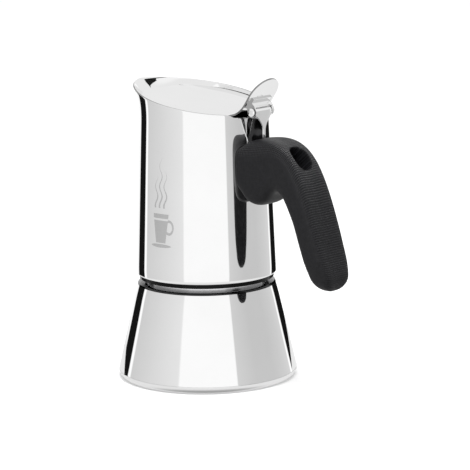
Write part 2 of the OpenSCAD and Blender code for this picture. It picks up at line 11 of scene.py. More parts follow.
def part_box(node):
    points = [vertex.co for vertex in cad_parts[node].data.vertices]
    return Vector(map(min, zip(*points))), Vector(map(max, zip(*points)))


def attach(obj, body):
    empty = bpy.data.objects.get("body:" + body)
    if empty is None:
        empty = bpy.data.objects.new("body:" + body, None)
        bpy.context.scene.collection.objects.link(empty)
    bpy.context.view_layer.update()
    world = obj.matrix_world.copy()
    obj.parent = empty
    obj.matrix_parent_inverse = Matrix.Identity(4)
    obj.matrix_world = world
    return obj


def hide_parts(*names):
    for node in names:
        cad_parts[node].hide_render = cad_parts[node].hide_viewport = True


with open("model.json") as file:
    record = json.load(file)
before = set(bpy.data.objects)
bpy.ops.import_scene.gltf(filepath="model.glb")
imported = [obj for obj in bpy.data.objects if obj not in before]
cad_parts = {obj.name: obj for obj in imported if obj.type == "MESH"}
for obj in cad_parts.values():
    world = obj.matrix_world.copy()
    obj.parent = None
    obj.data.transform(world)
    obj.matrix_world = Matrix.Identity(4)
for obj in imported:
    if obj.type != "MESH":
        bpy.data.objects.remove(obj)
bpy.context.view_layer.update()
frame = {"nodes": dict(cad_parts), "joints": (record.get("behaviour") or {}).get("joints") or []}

bl_info = {
    "name": "Moka pot looks",
    "version": (1, 0, 0),
    "blender": (4, 5, 0),
    "location": "3D View > Sidebar > Moka pot",
    "description": "Steel shells, lid, hinge and handle of a stovetop moka pot, with a soft studio",
    "category": "Object",
}

MM = 0.001
VALVE_HOLE_R = 3.5 * MM
FULL_TURN = 2.0 * math.pi

# Heights, radii and places that the finer pieces take from the frame
VESSEL_FOOT_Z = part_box("vessel_shell")[0].z
SHOULDER_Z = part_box("boiler_shell")[1].z
BASE_LOW, BASE_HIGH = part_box("base_cap")
# A hair inside the base's widest point, so that rounding can't pass it
BASE_EDGE_R = min(BASE_HIGH.x, BASE_HIGH.y, -BASE_LOW.x) - 0.02 * MM
PIN_LOW, PIN_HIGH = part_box("hinge_pin")
PIN_X = (PIN_LOW.x + PIN_HIGH.x) / 2
PIN_Z = (PIN_LOW.z + PIN_HIGH.z) / 2
# Smallest distance that counts as a step
HAIR = 0.001 * MM


# ---- sizes and colours ----

def length_of(name, description, default, **more):
    return FloatProperty(name=name, description=description, default=default,
                         subtype="DISTANCE", unit="LENGTH", **more)


def angle_of(name, description, degrees):
    return FloatProperty(name=name, description=description, default=math.radians(degrees),
                         subtype="ANGLE", unit="ROTATION")


def colour_of(name, description, default):
    return FloatVectorProperty(name=name, description=description, default=default,
                               subtype="COLOR", size=3)


class MokaBoilerSizes(bpy.types.PropertyGroup):
    wall: length_of("Wall", "Wall of the boiler", 0.8 * MM)
    shoulder_round: length_of("Shoulder round", "Radius of the boiler's shoulder", 1.2 * MM)
    ledge: length_of("Base ledge", "How far the cone stays inside the base's edge", 0.02 * MM)
    shoulder_radius: length_of("Shoulder radius", "Radius where the cone meets the shoulder", 30.95 * MM)
    # Painted shade: height of the shoulder's top edge that is coloured near-black to stand in for the shadow
    # in the groove
    shade_depth: length_of(
        "Shaded shoulder", "Height of the burnished dark edge of the shoulder", 0.95 * MM)
    mouth_radius: length_of("Mouth radius", "Inside radius of the boiler's mouth", 25.0 * MM)


class MokaVesselSizes(bpy.types.PropertyGroup):
    wall: length_of("Wall", "Wall of the upper vessel", 0.7 * MM)
    low_radius: length_of("Lower radius", "Radius at the lower edge", 31.25 * MM)
    rim_radius: length_of("Rim radius", "Radius at the rim", 28.3 * MM)
    rim_height: length_of("Rim height", "Height of the rim on the axis", 125.5 * MM)
    rim_tilt: angle_of("Rim tilt", "Tilt of the rim and the lid", 10)
    spout_reach: length_of("Spout reach", "How far the spout's lip stands out", 10.6 * MM)
    spout_height: length_of("Spout height", "Height of the spout's flare", 16.0 * MM)
    spout_spread: angle_of("Spout spread", "Half angle over which the lip fades", 30.3)
    segments: IntProperty(
        name="Segments", description="Steps round the vessel", default=288, min=96, max=360)


class MokaLidSizes(bpy.types.PropertyGroup):
    thickness: length_of("Thickness", "Sheet of the lid", 0.8 * MM)
    radius: length_of("Radius", "Radius of the lid's round edge", 27.25 * MM)
    drop: length_of("Drop", "Depth of the lid under the rim", 1.9 * MM)
    front: length_of("Front", "Distance from the axis to the straight front edge", 24.5 * MM)
    bend_start: length_of("Bend start", "Distance from the axis to the start of the bend", 18.5 * MM)
    bend_radius: length_of("Bend radius", "Radius of the upward bend", 13.0 * MM)
    tab_slope: angle_of("Tab slope", "Slope of the thumb tab", 55)
    tab_length: length_of("Tab length", "Length of the tab past the bend", 13.6 * MM)
    tab_half_width: length_of("Tab half width", "Half width of the neck and the tab", 8.6 * MM)


class MokaHingeSizes(bpy.types.PropertyGroup):
    sheet: length_of("Sheet", "Sheet thickness of the bracket", 0.7 * MM)
    knuckle_half: length_of("Knuckle half width", "Half width of the roll over the pin", 5.0 * MM)
    web_narrow: length_of("Web half width", "Half width of the web at its narrow foot", 0.75 * MM)
    tang_half: length_of("Tang half width", "Half width of the gussets at the wall", 3.3 * MM)


class MokaHandleSizes(bpy.types.PropertyGroup):
    half_width: length_of("Half width", "Half width of the handle", 10.4 * MM)
    squareness: FloatProperty(
        name="Squareness", description="Power of the section's rounded outline",
        default=4.2, min=2.0, max=6.0)
    hole_length: length_of("Hole length", "Length of the hanging hole's rounded mouth", 12.8 * MM)
    hole_width: length_of("Hole width", "Width of the hanging hole's rounded mouth", 10.0 * MM)
    hatch_pitch: length_of("Hatch pitch", "Distance between the fine moulded lines", 1.2 * MM, precision=5)


class MokaFinish(bpy.types.PropertyGroup):
    steel: colour_of("Polished steel", "Colour of the mirror polished steel", (0.93, 0.93, 0.93))
    satin_steel: colour_of("Satin steel", "Colour of the turned and drawn steel", (0.74, 0.74, 0.75))
    # Painted shade: a near-black steel that stands in for the shadow on the bracket's gussets and on the
    # shoulder's edge in the groove
    dark_steel: colour_of(
        "Dark steel", "Colour of the bracket's gussets and the shoulder's edge", (0.045, 0.045, 0.046))
    aluminium: colour_of("Aluminium", "Colour of the base's aluminium core", (0.78, 0.78, 0.79))
    brass: colour_of("Brass", "Colour of the safety valve", (0.80, 0.58, 0.28))
    edge: colour_of("Cut edge", "Colour of the sheets' cut edges", (0.34, 0.34, 0.34))
    leaf_edge: colour_of("Leaf's edge", "Colour of the hinge leaf's cut sides", (0.42, 0.42, 0.42))
    # Painted shade: near-black colour that stands in for the shadow on the steel deep in the groove
    groove: colour_of("Groove", "Colour of the burnished steel in the groove", (0.012, 0.012, 0.012))
    etched: colour_of("Etched steel", "Colour of the etched emblem", (0.60, 0.60, 0.60))
    emblem_turn: angle_of("Emblem turn", "Direction of the emblem's middle", -88)
    emblem_height: length_of("Emblem height", "Height of the emblem's middle", 83 * MM)
    rubber: colour_of("Gasket", "Colour of the gasket", (0.78, 0.77, 0.72))
    valve_rubber: colour_of("Valve washer", "Colour of the valve's washer", (0.32, 0.05, 0.04))
    plastic: colour_of("Handle", "Colour of the handle's plastic", (0.008, 0.008, 0.009))


class MokaStudio(bpy.types.PropertyGroup):
    azimuth: angle_of("Azimuth", "Camera's turn round the pot", 42)
    elevation: angle_of("Elevation", "Camera's height angle", 11.107)
    roll: angle_of("Roll", "Camera's roll", -0.823)
    distance: length_of("Distance", "From the aim to the camera", 1.12038)
    lens: FloatProperty(name="Lens", description="Focal length in millimetres", default=192.26)
    aim: FloatVectorProperty(
        name="Aim", description="Point that the camera looks at", default=(0.009614, 0.008656, 0.063131),
        subtype="TRANSLATION", unit="LENGTH", size=3)
    tent_radius: length_of("Tent radius", "Radius of the ring of cards", 0.26)
    high_card_turn: angle_of("High card turn", "Direction of the high dark card, from the camera's", 141)
    high_card_lift: angle_of("High card lift", "Height angle of the high dark card", 57)
    high_card_size: FloatVectorProperty(
        name="High card size", description="Width and height of the high dark card", default=(0.13, 0.24),
        subtype="TRANSLATION", unit="LENGTH", size=2)
    white: FloatProperty(name="White", description="Strength of the white surround", default=1.05)
    room: FloatProperty(name="Room", description="Brightness of the room in reflections", default=0.87)
    sheen: FloatProperty(name="Sheen", description="Power of the handle's two lamps", default=2.2)
    below: FloatProperty(
        name="Below", description="Share of the room's brightness straight down in reflections", default=0.45)
    ceiling: FloatProperty(name="Ceiling", description="Brightness overhead in reflections", default=0.98)


# ---- small tools ----

def place_object(name, data):
    """Links a new object that holds a mesh, a lamp or a camera."""
    made = bpy.data.objects.new(name, data)
    bpy.context.scene.collection.objects.link(made)
    return made


def mesh_of(name, build, material=None):
    """Turns a finished bmesh into a mesh, and frees the bmesh."""
    mesh = bpy.data.meshes.new(name)
    build.to_mesh(mesh)
    build.free()
    if material:
        mesh.materials.append(material)
    return mesh


def finished(name, build, body, material, replaces=(), sharp=35):
    """Makes a piece of a finished bmesh: smooth faces, sharp where they turn more than so many degrees."""
    mesh = mesh_of(name, build, material)
    mesh.shade_smooth()
    if sharp:
        mesh.set_sharp_from_angle(angle=math.radians(sharp))
    piece = place_object(name, mesh)
    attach(piece, body)
    if replaces:
        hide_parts(*replaces)
    return piece


def add_thickness(piece, label, thickness, offset, rim):
    """Gives a sheet its thickness, with its cut edges in the finish named by rim."""
    piece.data.materials.append(finish_of(rim))
    solid = piece.modifiers.new(label, "SOLIDIFY")
    solid.thickness = thickness
    solid.offset = offset
    solid.use_even_offset = True
    solid.material_offset_rim = 1


def add_bevel(piece, width, degrees, harden=False):
    """Rounds the edges of a piece that turn more than so many degrees."""
    bevel = piece.modifiers.new("edge_round", "BEVEL")
    bevel.width = width
    bevel.segments = 2
    bevel.limit_method = "ANGLE"
    bevel.angle_limit = math.radians(degrees)
    bevel.harden_normals = harden


def extrude_row(build, line, edges, places):
    """Extrudes a line of vertices by its edges, and puts the new line at its places."""
    grown = bmesh.ops.extrude_edge_only(build, edges=edges)["geom"]
    fresh = {part for part in grown if isinstance(part, bmesh.types.BMVert)}
    line = [next(e.other_vert(v) for e in v.link_edges if e.other_vert(v) in fresh) for v in line]
    for vert, place in zip(line, places):
        vert.co = place
    return line


def arc(cx, cz, radius, start, end, steps):
    """Points of an arc in the (out, up) plane, angles in degrees from outwards."""
    turns = [math.radians(start + (end - start) * k / steps) for k in range(steps + 1)]
    return [(cx + radius * math.cos(t), cz + radius * math.sin(t)) for t in turns]


def spun(points, steps, closed=False):
    """Spins an outline of (radius, height) points round the pot's axis."""
    build = bmesh.new()
    verts = [build.verts.new((max(r, 0.0), 0.0, z)) for r, z in points]
    pairs = list(zip(verts, verts[1:]))
    if closed:
        pairs.append((verts[-1], verts[0]))
    edges = [build.edges.new(pair) for pair in pairs]
    bmesh.ops.spin(build, geom=verts + edges, cent=(0, 0, 0), axis=(0, 0, 1), dvec=(0, 0, 0),
                   angle=FULL_TURN, steps=steps, use_merge=True)
    bmesh.ops.remove_doubles(build, verts=build.verts, dist=HAIR)
    bmesh.ops.recalc_face_normals(build, faces=build.faces)
    return build


def smooth_step(t):
    t = min(max(t, 0.0), 1.0)
    return t * t * (3 - 2 * t)


def round_corner(turn, power, half_a, half_b):
    """Point of a rounded rectangle's outline at an angle: a power of 1 gives an oval."""
    a, b = math.cos(turn), math.sin(turn)
    return math.copysign(abs(a) ** power, a) * half_a, math.copysign(abs(b) ** power, b) * half_b


def direction_of(turn, lift):
    """Direction at a turn from the pot's -Y side and a height angle."""
    return Vector((math.sin(turn) * math.cos(lift), -math.cos(turn) * math.cos(lift), math.sin(lift)))


# ---- node groups and materials ----

def node(tree, kind, place=(0, 0), **values):
    """Adds a node, sets its options by name and its inputs from names that start with in_."""
    made = tree.nodes.new(kind)
    made.location = place
    for key, value in values.items():
        if key.startswith("in_"):
            made.inputs[key[3:].replace("_", " ")].default_value = value
        else:
            setattr(made, key, value)
    return made


def math_node(tree, operation, *values):
    """A Math node whose inputs are sockets or numbers; gives back its output."""
    made = tree.nodes.new("ShaderNodeMath")
    made.operation = operation
    for socket, value in zip(made.inputs, values):
        if isinstance(value, (int, float)):
            socket.default_value = value
        else:
            tree.links.new(value, socket)
    return made.outputs[0]


def split(tree, vector):
    """The X, Y and Z of a vector."""
    parts = tree.nodes.new("ShaderNodeSeparateXYZ")
    tree.links.new(vector, parts.inputs[0])
    return parts.outputs


def noise(tree, where, scale, detail, roughness=0.5):
    """Soft noise over a vector."""
    made = node(tree, "ShaderNodeTexNoise", in_Scale=scale, in_Detail=detail, in_Roughness=roughness)
    tree.links.new(where, made.inputs["Vector"])
    return made.outputs["Fac"]


def group_tree(name, inputs, outputs):
    """An empty node group with named sockets: (name, type, default)."""
    tree = bpy.data.node_groups.new(name, "ShaderNodeTree")
    for label, kind, default in inputs:
        socket = tree.interface.new_socket(name=label, in_out="INPUT", socket_type=kind)
        if default is not None:
            socket.default_value = default
    for label, kind in outputs:
        tree.interface.new_socket(name=label, in_out="OUTPUT", socket_type=kind)
    return tree, tree.nodes.new("NodeGroupInput"), tree.nodes.new("NodeGroupOutput")


def polish_group():
    """Fine polishing lines, faint smears and small dents of a steel surface."""
    found = bpy.data.node_groups.get("polish")
    if found:
        return found
    tree, given, made = group_tree(
        "polish",
        [("Vector", "NodeSocketVector", None), ("Line Scale", "NodeSocketVector", (300, 300, 9000)),
         ("Roughness", "NodeSocketFloat", 0.04), ("Spread", "NodeSocketFloat", 0.02)],
        [("Roughness", "NodeSocketFloat"), ("Lines", "NodeSocketFloat"), ("Smears", "NodeSocketFloat")])
    stretched = node(tree, "ShaderNodeVectorMath", operation="MULTIPLY")
    tree.links.new(given.outputs["Vector"], stretched.inputs[0])
    tree.links.new(given.outputs["Line Scale"], stretched.inputs[1])
    lines = noise(tree, stretched.outputs[0], 1.0, 2.0, 0.6)
    smears = noise(tree, given.outputs["Vector"], 38.0, 4.0, 0.55)
    both = math_node(tree, "MULTIPLY", lines, smears)
    varied = math_node(tree, "MULTIPLY", both, given.outputs["Spread"])
    rough = math_node(tree, "ADD", varied, given.outputs["Roughness"])
    tree.links.new(rough, made.inputs["Roughness"])
    tree.links.new(lines, made.inputs["Lines"])
    tree.links.new(smears, made.inputs["Smears"])
    return tree


def bare_material(name):
    """A material with a Principled shader and object coordinates, and nothing linked."""
    material = bpy.data.materials.new(name)
    material.use_nodes = True
    tree = material.node_tree
    shader = tree.nodes["Principled BSDF"]
    where = node(tree, "ShaderNodeTexCoord", (-1200, 0))
    return material, tree, shader, where.outputs["Object"]


def polished_metal(name, line_scale, roughness, spread):
    """A metal whose roughness comes from the polish group."""
    material, tree, shader, where = bare_material(name)
    shader.inputs["Metallic"].default_value = 1.0
    placed = tree.nodes.new("ShaderNodeGroup")
    placed.node_tree = polish_group()
    tree.links.new(where, placed.inputs["Vector"])
    placed.inputs["Line Scale"].default_value = line_scale
    placed.inputs["Roughness"].default_value = roughness
    placed.inputs["Spread"].default_value = spread
    tree.links.new(placed.outputs["Roughness"], shader.inputs["Roughness"])
    return material, tree, shader, where, placed


def use_bump(tree, shader, height, strength, distance=0.02 * MM):
    """Small relief of a surface."""
    bump = node(tree, "ShaderNodeBump", (-250, -250), in_Strength=strength, in_Distance=distance)
    tree.links.new(height, bump.inputs["Height"])
    tree.links.new(bump.outputs["Normal"], shader.inputs["Normal"])


def tint(tree, shader, factor, low, high):
    """Base colour between two colours by a factor."""
    ramp = node(tree, "ShaderNodeValToRGB", (-450, 150))
    ramp.color_ramp.elements[0].position = 0.3
    ramp.color_ramp.elements[0].color = (*low, 1)
    ramp.color_ramp.elements[1].position = 0.7
    ramp.color_ramp.elements[1].color = (*high, 1)
    tree.links.new(factor, ramp.inputs["Fac"])
    tree.links.new(ramp.outputs["Color"], shader.inputs["Base Color"])


def shade(colour, factor):
    return tuple(min(1.0, c * factor) for c in colour)


def metal_material(name, colour, line_scale, roughness, spread, bump, dim):
    """Metal with polishing lines: mirror bright or satin, by its roughness."""
    material, tree, shader, where, placed = polished_metal(name, line_scale, roughness, spread)
    tint(tree, shader, placed.outputs["Smears"], shade(colour, dim), colour)
    use_bump(tree, shader, placed.outputs["Lines"], bump)
    return material


def shaded_collar_material(name, finish, groove_radius):
    """Turned steel whose outside, deep in the groove, is coloured nearly black: painted shade for the
    groove's shadow.
    """
    material, tree, shader, where, placed = polished_metal(name, TURNED_LINES, 0.16, 0.12)
    parts = split(tree, where)
    across = math_node(tree, "MULTIPLY", parts["X"], parts["X"])
    beyond = math_node(tree, "MULTIPLY", parts["Y"], parts["Y"])
    radius = math_node(tree, "SQRT", math_node(tree, "ADD", across, beyond))
    # painted shade: beyond the given radius the steel takes the near-black groove colour
    inside = math_node(tree, "LESS_THAN", radius, groove_radius)
    tint(tree, shader, inside, finish.groove[:], finish.satin_steel[:])
    use_bump(tree, shader, placed.outputs["Lines"], 0.2)
    return material


def leaf_material(finish):
    """Polished steel strip whose two cut sides are grey."""
    material, tree, shader, where, placed = polished_metal("leaf_steel", POLISH_LINES, 0.05, 0.05)
    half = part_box("lid_leaf")[1].y - 0.2 * MM
    away = math_node(tree, "ABSOLUTE", split(tree, where)["Y"])
    tint(tree, shader, math_node(tree, "GREATER_THAN", away, half), finish.steel[:], finish.leaf_edge[:])
    use_bump(tree, shader, placed.outputs["Lines"], 0.05)
    return material


def emblem_group():
    """Mask of a cup with a handle and three curls of steam, on lengths in mm round its middle."""
    found = bpy.data.node_groups.get("cup_emblem")
    if found:
        return found
    tree, given, made = group_tree(
        "cup_emblem", [("Across", "NodeSocketFloat", 0.0), ("Up", "NodeSocketFloat", 0.0)],
        [("Mask", "NodeSocketFloat")])
    across, up = given.outputs["Across"], given.outputs["Up"]

    def calc(operation, *values):
        return math_node(tree, operation, *values)

    def between(value, low, high):
        return calc("MULTIPLY", calc("GREATER_THAN", value, low), calc("LESS_THAN", value, high))

    def oval(x, y, half_x, half_y):
        """Distance from a middle, 1 on the oval's outline."""
        a = calc("DIVIDE", calc("SUBTRACT", across, x), half_x)
        b = calc("DIVIDE", calc("SUBTRACT", up, y), half_y)
        return calc("SQRT", calc("ADD", calc("MULTIPLY", a, a), calc("MULTIPLY", b, b)))

    # the cup narrows towards its foot, and stands on a saucer
    half_cup = calc("ADD", calc("MULTIPLY", calc("ADD", up, 20.0), 0.13), 2.4)
    body = calc("MULTIPLY", calc("LESS_THAN", calc("ABSOLUTE", across), half_cup), between(up, -18.3, -5.5))
    band = calc("SUBTRACT", 1.0, between(up, -8.4, -7.5))
    shapes = [calc("MULTIPLY", body, band),
              calc("LESS_THAN", oval(0.0, -19.6, 5.4, 0.8), 1.0),
              calc("MULTIPLY", between(oval(4.4, -11.3, 2.4, 3.4), 0.66, 1.0),
                   calc("GREATER_THAN", calc("SUBTRACT", across, half_cup), 0.0))]
    for x, low, high in ((-2.5, -3.0, 11.0), (0.0, -3.0, 20.0), (2.5, -3.0, 13.5)):
        sway = calc("MULTIPLY", calc("SINE", calc("MULTIPLY", up, 0.72)), 0.75)
        away = calc("ABSOLUTE", calc("SUBTRACT", calc("SUBTRACT", across, x), sway))
        taper = calc("MULTIPLY", calc("SUBTRACT", high + 1.0, up), 0.42 / (high - low))
        shapes.append(calc("MULTIPLY", calc("LESS_THAN", away, taper), between(up, low, high)))
    total = shapes[0]
    for shape in shapes[1:]:
        total = calc("MAXIMUM", total, shape)
    tree.links.new(total, made.inputs["Mask"])
    return tree


def etched_vessel_material(finish):
    """Mirror steel with a small emblem etched into one side, a quarter turn from the hinge."""
    material, tree, shader, where, placed = polished_metal("vessel_steel", POLISH_LINES, 0.028, 0.03)
    colour = finish.steel[:]
    parts = split(tree, where)
    turn = math_node(tree, "ARCTAN2", parts["Y"], parts["X"])
    across = math_node(tree, "MULTIPLY", math_node(tree, "SUBTRACT", turn, finish.emblem_turn), EMBLEM_WALL_R)
    up = math_node(tree, "DIVIDE", math_node(tree, "SUBTRACT", parts["Z"], finish.emblem_height), MM)
    drawn = tree.nodes.new("ShaderNodeGroup")
    drawn.node_tree = emblem_group()
    tree.links.new(across, drawn.inputs["Across"])
    tree.links.new(up, drawn.inputs["Up"])
    mask = drawn.outputs["Mask"]
    tint(tree, shader, placed.outputs["Smears"], shade(colour, 0.97), colour)
    etched = node(tree, "ShaderNodeMix", data_type="RGBA")
    factor, plain, deep = (next(socket for socket in etched.inputs if socket.identifier == name)
                           for name in ("Factor_Float", "A_Color", "B_Color"))
    tree.links.new(mask, factor)
    tree.links.new(shader.inputs["Base Color"].links[0].from_socket, plain)
    deep.default_value = (*finish.etched[:], 1)
    mixed = next(socket for socket in etched.outputs if socket.identifier == "Result_Color")
    tree.links.new(mixed, shader.inputs["Base Color"])
    matte = math_node(tree, "MULTIPLY", mask, 0.3)
    tree.links.new(math_node(tree, "ADD", matte, placed.outputs["Roughness"]), shader.inputs["Roughness"])
    use_bump(tree, shader, placed.outputs["Lines"], 0.02)
    return material


def rubber_material(name, colour, roughness):
    """Soft rubber with a dusty, slightly mottled surface."""
    material, tree, shader, where = bare_material(name)
    fine = noise(tree, where, 900.0, 3.0)
    tint(tree, shader, fine, shade(colour, 0.85), colour)
    tree.links.new(math_node(tree, "MULTIPLY_ADD", fine, 0.15, roughness), shader.inputs["Roughness"])
    use_bump(tree, shader, fine, 0.3, 0.05 * MM)
    return material


def hatch_group():
    """Two crossed sets of fine lines over a surface's own length and girth."""
    found = bpy.data.node_groups.get("hatch")
    if found:
        return found
    tree, given, made = group_tree(
        "hatch", [("Vector", "NodeSocketVector", None), ("Pitch", "NodeSocketFloat", 0.6)],
        [("Height", "NodeSocketFloat")])
    parts = split(tree, given.outputs["Vector"])
    turn = math_node(tree, "DIVIDE", FULL_TURN * DIAGONAL, given.outputs["Pitch"])
    waves = []
    for sign in ("ADD", "SUBTRACT"):
        slant = math_node(tree, sign, parts["X"], parts["Y"])
        waves.append(math_node(tree, "SINE", math_node(tree, "MULTIPLY", slant, turn)))
    tree.links.new(math_node(tree, "MULTIPLY", waves[0], waves[1]), made.inputs["Height"])
    return tree


def plastic_material(colour, pitch):
    """Black moulded plastic with a fine cross hatch, a little dust, and ridges coloured a little lighter than
    its valleys.
    """
    material, tree, shader, where = bare_material("handle_plastic")
    own = node(tree, "ShaderNodeUVMap", (-1200, -300), uv_map="surface")
    placed = tree.nodes.new("ShaderNodeGroup")
    placed.node_tree = hatch_group()
    tree.links.new(own.outputs["UV"], placed.inputs["Vector"])
    placed.inputs["Pitch"].default_value = pitch / MM
    # the hatch is deep on the outer face and fades towards the smoother sides
    round_to = math_node(tree, "PINGPONG", split(tree, own.outputs["UV"])["Y"], HANDLE_GIRTH / 2)
    depth = node(tree, "ShaderNodeMapRange", interpolation_type="SMOOTHSTEP",
                 in_From_Min=9.5, in_From_Max=13.5, in_To_Min=1.0, in_To_Max=0.12)
    tree.links.new(round_to, depth.inputs["Value"])
    hatch = math_node(tree, "MULTIPLY", placed.outputs["Height"], depth.outputs["Result"])
    dust = noise(tree, where, 700.0, 4.0)
    # the ridges of the hatch are coloured a little lighter than its valleys
    ridge = math_node(tree, "MULTIPLY", hatch, 0.36)
    specks = math_node(tree, "MULTIPLY_ADD", dust, 0.3, 0.35)
    tint(tree, shader, math_node(tree, "ADD", ridge, specks), shade(colour, 0.4), shade(colour, 1.6))
    tree.links.new(math_node(tree, "MULTIPLY_ADD", dust, 0.12, 0.40), shader.inputs["Roughness"])
    shader.inputs["Specular IOR Level"].default_value = 0.14
    use_bump(tree, shader, hatch, 1.0, 0.16 * MM)
    return material


# Length of the hatch's pattern once round the handle, and the wall's radius at the emblem, in mm
HANDLE_GIRTH = 75.0
EMBLEM_WALL_R = 29.6
# Share of a diagonal step that goes along each of its two sides
DIAGONAL = 0.7071
# How tightly polishing lines are packed along X, Y and Z
POLISH_LINES = (240, 240, 4000)
TURNED_LINES = (500, 500, 9000)
# Colour and its share, lines, roughness and its spread, depth of the lines, and the smears' dimming
METALS = {
    "polished_steel": ("steel", 1.0, POLISH_LINES, 0.028, 0.03, 0.02, 0.97),
    "base_steel": ("steel", 0.97, (60, 60, 9000), 0.22, 0.12, 0.15, 0.97),
    # painted shade: near-black steel standing in for the shadow on the gussets and the shoulder's edge
    "dark_steel": ("dark_steel", 1.0, POLISH_LINES, 0.10, 0.08, 0.1, 0.8),
    "edge_steel": ("edge", 1.0, (2000, 2000, 2000), 0.25, 0.1, 0.2, 0.7),
    "turned_steel": ("satin_steel", 1.0, TURNED_LINES, 0.20, 0.16, 0.3, 0.97),
    "filter_steel": ("satin_steel", 0.9, (2500, 2500, 2500), 0.30, 0.2, 0.3, 0.97),
    "spring_steel": ("satin_steel", 1.0, (3000, 3000, 3000), 0.18, 0.1, 0.2, 0.97),
    "screw_steel": ("satin_steel", 0.85, (3000, 3000, 3000), 0.28, 0.15, 0.3, 0.97),
    "aluminium": ("aluminium", 1.0, TURNED_LINES, 0.35, 0.2, 0.3, 0.97),
    "brass": ("brass", 1.0, (2200, 2200, 2200), 0.22, 0.15, 0.3, 0.85),
}
MATERIALS = {}


def made_finish(name):
    """Makes the material of that name."""
    finish = bpy.context.scene.moka_finish
    if name in METALS:
        key, share, *look = METALS[name]
        return metal_material(name, shade(getattr(finish, key)[:], share), *look)
    if name == "vessel_steel":
        return etched_vessel_material(finish)
    if name == "leaf_steel":
        return leaf_material(finish)
    # painted shade: the collar's and the neck's outsides in the groove are coloured near-black for their
    # shadow
    if name == "collar_steel":
        return shaded_collar_material(name, finish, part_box("threaded_collar")[1].x - 0.2 * MM)
    if name == "neck_steel":
        return shaded_collar_material(name, finish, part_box("boiler_neck")[1].x - 0.3 * MM)
    if name == "gasket_rubber":
        return rubber_material(name, finish.rubber[:], 0.5)
    if name == "valve_rubber":
        return rubber_material(name, finish.valve_rubber[:], 0.45)
    return plastic_material(finish.plastic[:], bpy.context.scene.moka_handle.hatch_pitch)


def finish_of(name):
    """The material of that name, made the first time it is asked for."""
    if name not in MATERIALS:
        MATERIALS[name] = made_finish(name)
    return MATERIALS[name]


# ---- boiler ----

def bore_for_valve(piece):
    """Drills the round hole that the safety valve's body goes through."""
    joint = next(joint for joint in frame["joints"] if joint["name"] == "valve_lift")
    axis = Vector(joint["axis"]).normalized()
    middle = (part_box("valve_washer")[0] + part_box("valve_washer")[1]) / 2
    build = bmesh.new()
    rod = bmesh.ops.create_cone(build, cap_ends=True, segments=48, radius1=VALVE_HOLE_R, radius2=VALVE_HOLE_R,
                                depth=8 * MM)["verts"]
    place = Matrix.Translation(middle) @ axis.to_track_quat("Z", "Y").to_matrix().to_4x4()
    bmesh.ops.transform(build, matrix=place, verts=rod)
    mesh = mesh_of("drill", build)
    drill = place_object("drill", mesh)
    cut = piece.modifiers.new("valve_hole", "BOOLEAN")
    cut.operation = "DIFFERENCE"
    cut.solver = "EXACT"
    cut.object = drill
    seen = piece.evaluated_get(bpy.context.evaluated_depsgraph_get())
    drilled = bpy.data.meshes.new_from_object(seen)
    piece.modifiers.remove(cut)
    plain = piece.data
    name = plain.name
    piece.data = drilled
    bpy.data.meshes.remove(plain)
    drilled.name = name
    bpy.data.objects.remove(drill)
    bpy.data.meshes.remove(mesh)


class MOKA_OT_boiler(bpy.types.Operator):
    """Spin the boiler's cone, shoulder and mouth, and its base"""
    bl_idname = "moka.boiler"
    bl_label = "Boiler shells"

    def execute(self, context):
        sizes = context.scene.moka_boiler
        base_top = BASE_HIGH.z
        shoulder_z = SHOULDER_Z
        foot_r = BASE_EDGE_R - sizes.ledge
        slope = (BASE_HIGH.x - sizes.shoulder_radius) / (shoulder_z - base_top)
        tilt = math.degrees(math.atan(slope))
        round_r = sizes.shoulder_round
        top_r = sizes.shoulder_radius - round_r
        shoulder = arc(top_r, shoulder_z - round_r, round_r, tilt, 90, 8)
        outline = [(foot_r - slope * k * MM, base_top + k * MM) for k in (0.05, 4, 12, 24, 34)]
        outline += shoulder
        outline += [(sizes.mouth_radius + 0.4 * MM, shoulder_z),
                    (sizes.mouth_radius, shoulder_z - 0.4 * MM),
                    (sizes.mouth_radius, shoulder_z - sizes.wall)]
        inside_r = sizes.shoulder_radius - sizes.wall
        floor_r = foot_r - sizes.wall - 1.2 * MM
        floor_z = base_top + sizes.wall
        outline += arc(inside_r - round_r, shoulder_z - sizes.wall - round_r, round_r, 90, tilt, 6)
        outline += arc(floor_r - 1.5 * MM, floor_z + 1.5 * MM, 1.5 * MM, tilt, -90, 6)
        outline += [(0, floor_z), (0, base_top + 0.05 * MM)]
        build = spun(outline, 192, closed=True)
        # painted shade: the faces along the shoulder's top, down in the groove, get the near-black steel that
        # stands in for their shadow
        for face in build.faces:
            middle = face.calc_center_median()
            if middle.z > shoulder_z - sizes.shade_depth and middle.xy.length > sizes.mouth_radius + 1 * MM:
                face.material_index = 1
        piece = finished("boiler_wall", build, "boiler", finish_of("polished_steel"),
                         replaces=("boiler_shell",))
        piece.data.materials.append(finish_of("dark_steel"))
        bore_for_valve(piece)

        edge_r = BASE_EDGE_R
        lower = arc(edge_r - base_top, base_top, base_top, -90, -12, 10)
        rim = [(edge_r, base_top - 0.05 * MM), (edge_r - 0.02 * MM, base_top)]
        recess_r = edge_r - 9 * MM
        base = [(0, 0.25 * MM), (recess_r - 0.5 * MM, 0.25 * MM), (recess_r, 0)]
        base += lower + rim + [(0, base_top)]
        finished("base_plate", spun(base, 192), "boiler", finish_of("base_steel"),
                 replaces=("base_cap", "base_core"))
        return {"FINISHED"}


# ---- upper vessel ----

def vessel_radius(sizes, z):
    low = VESSEL_FOOT_Z
    share = (z - low) / (sizes.rim_height - low)
    return sizes.low_radius + (sizes.rim_radius - sizes.low_radius) * share


def rim_level(sizes, turn):
    """Height of the rim at an angle: the tilt, less the dip behind the hinge."""
    from_hinge = abs(math.degrees(turn))
    dip = 1.2 * MM * (1 - smooth_step((from_hinge - 19) / 8))
    return sizes.rim_height - math.tan(sizes.rim_tilt) * sizes.rim_radius * math.cos(turn) - dip


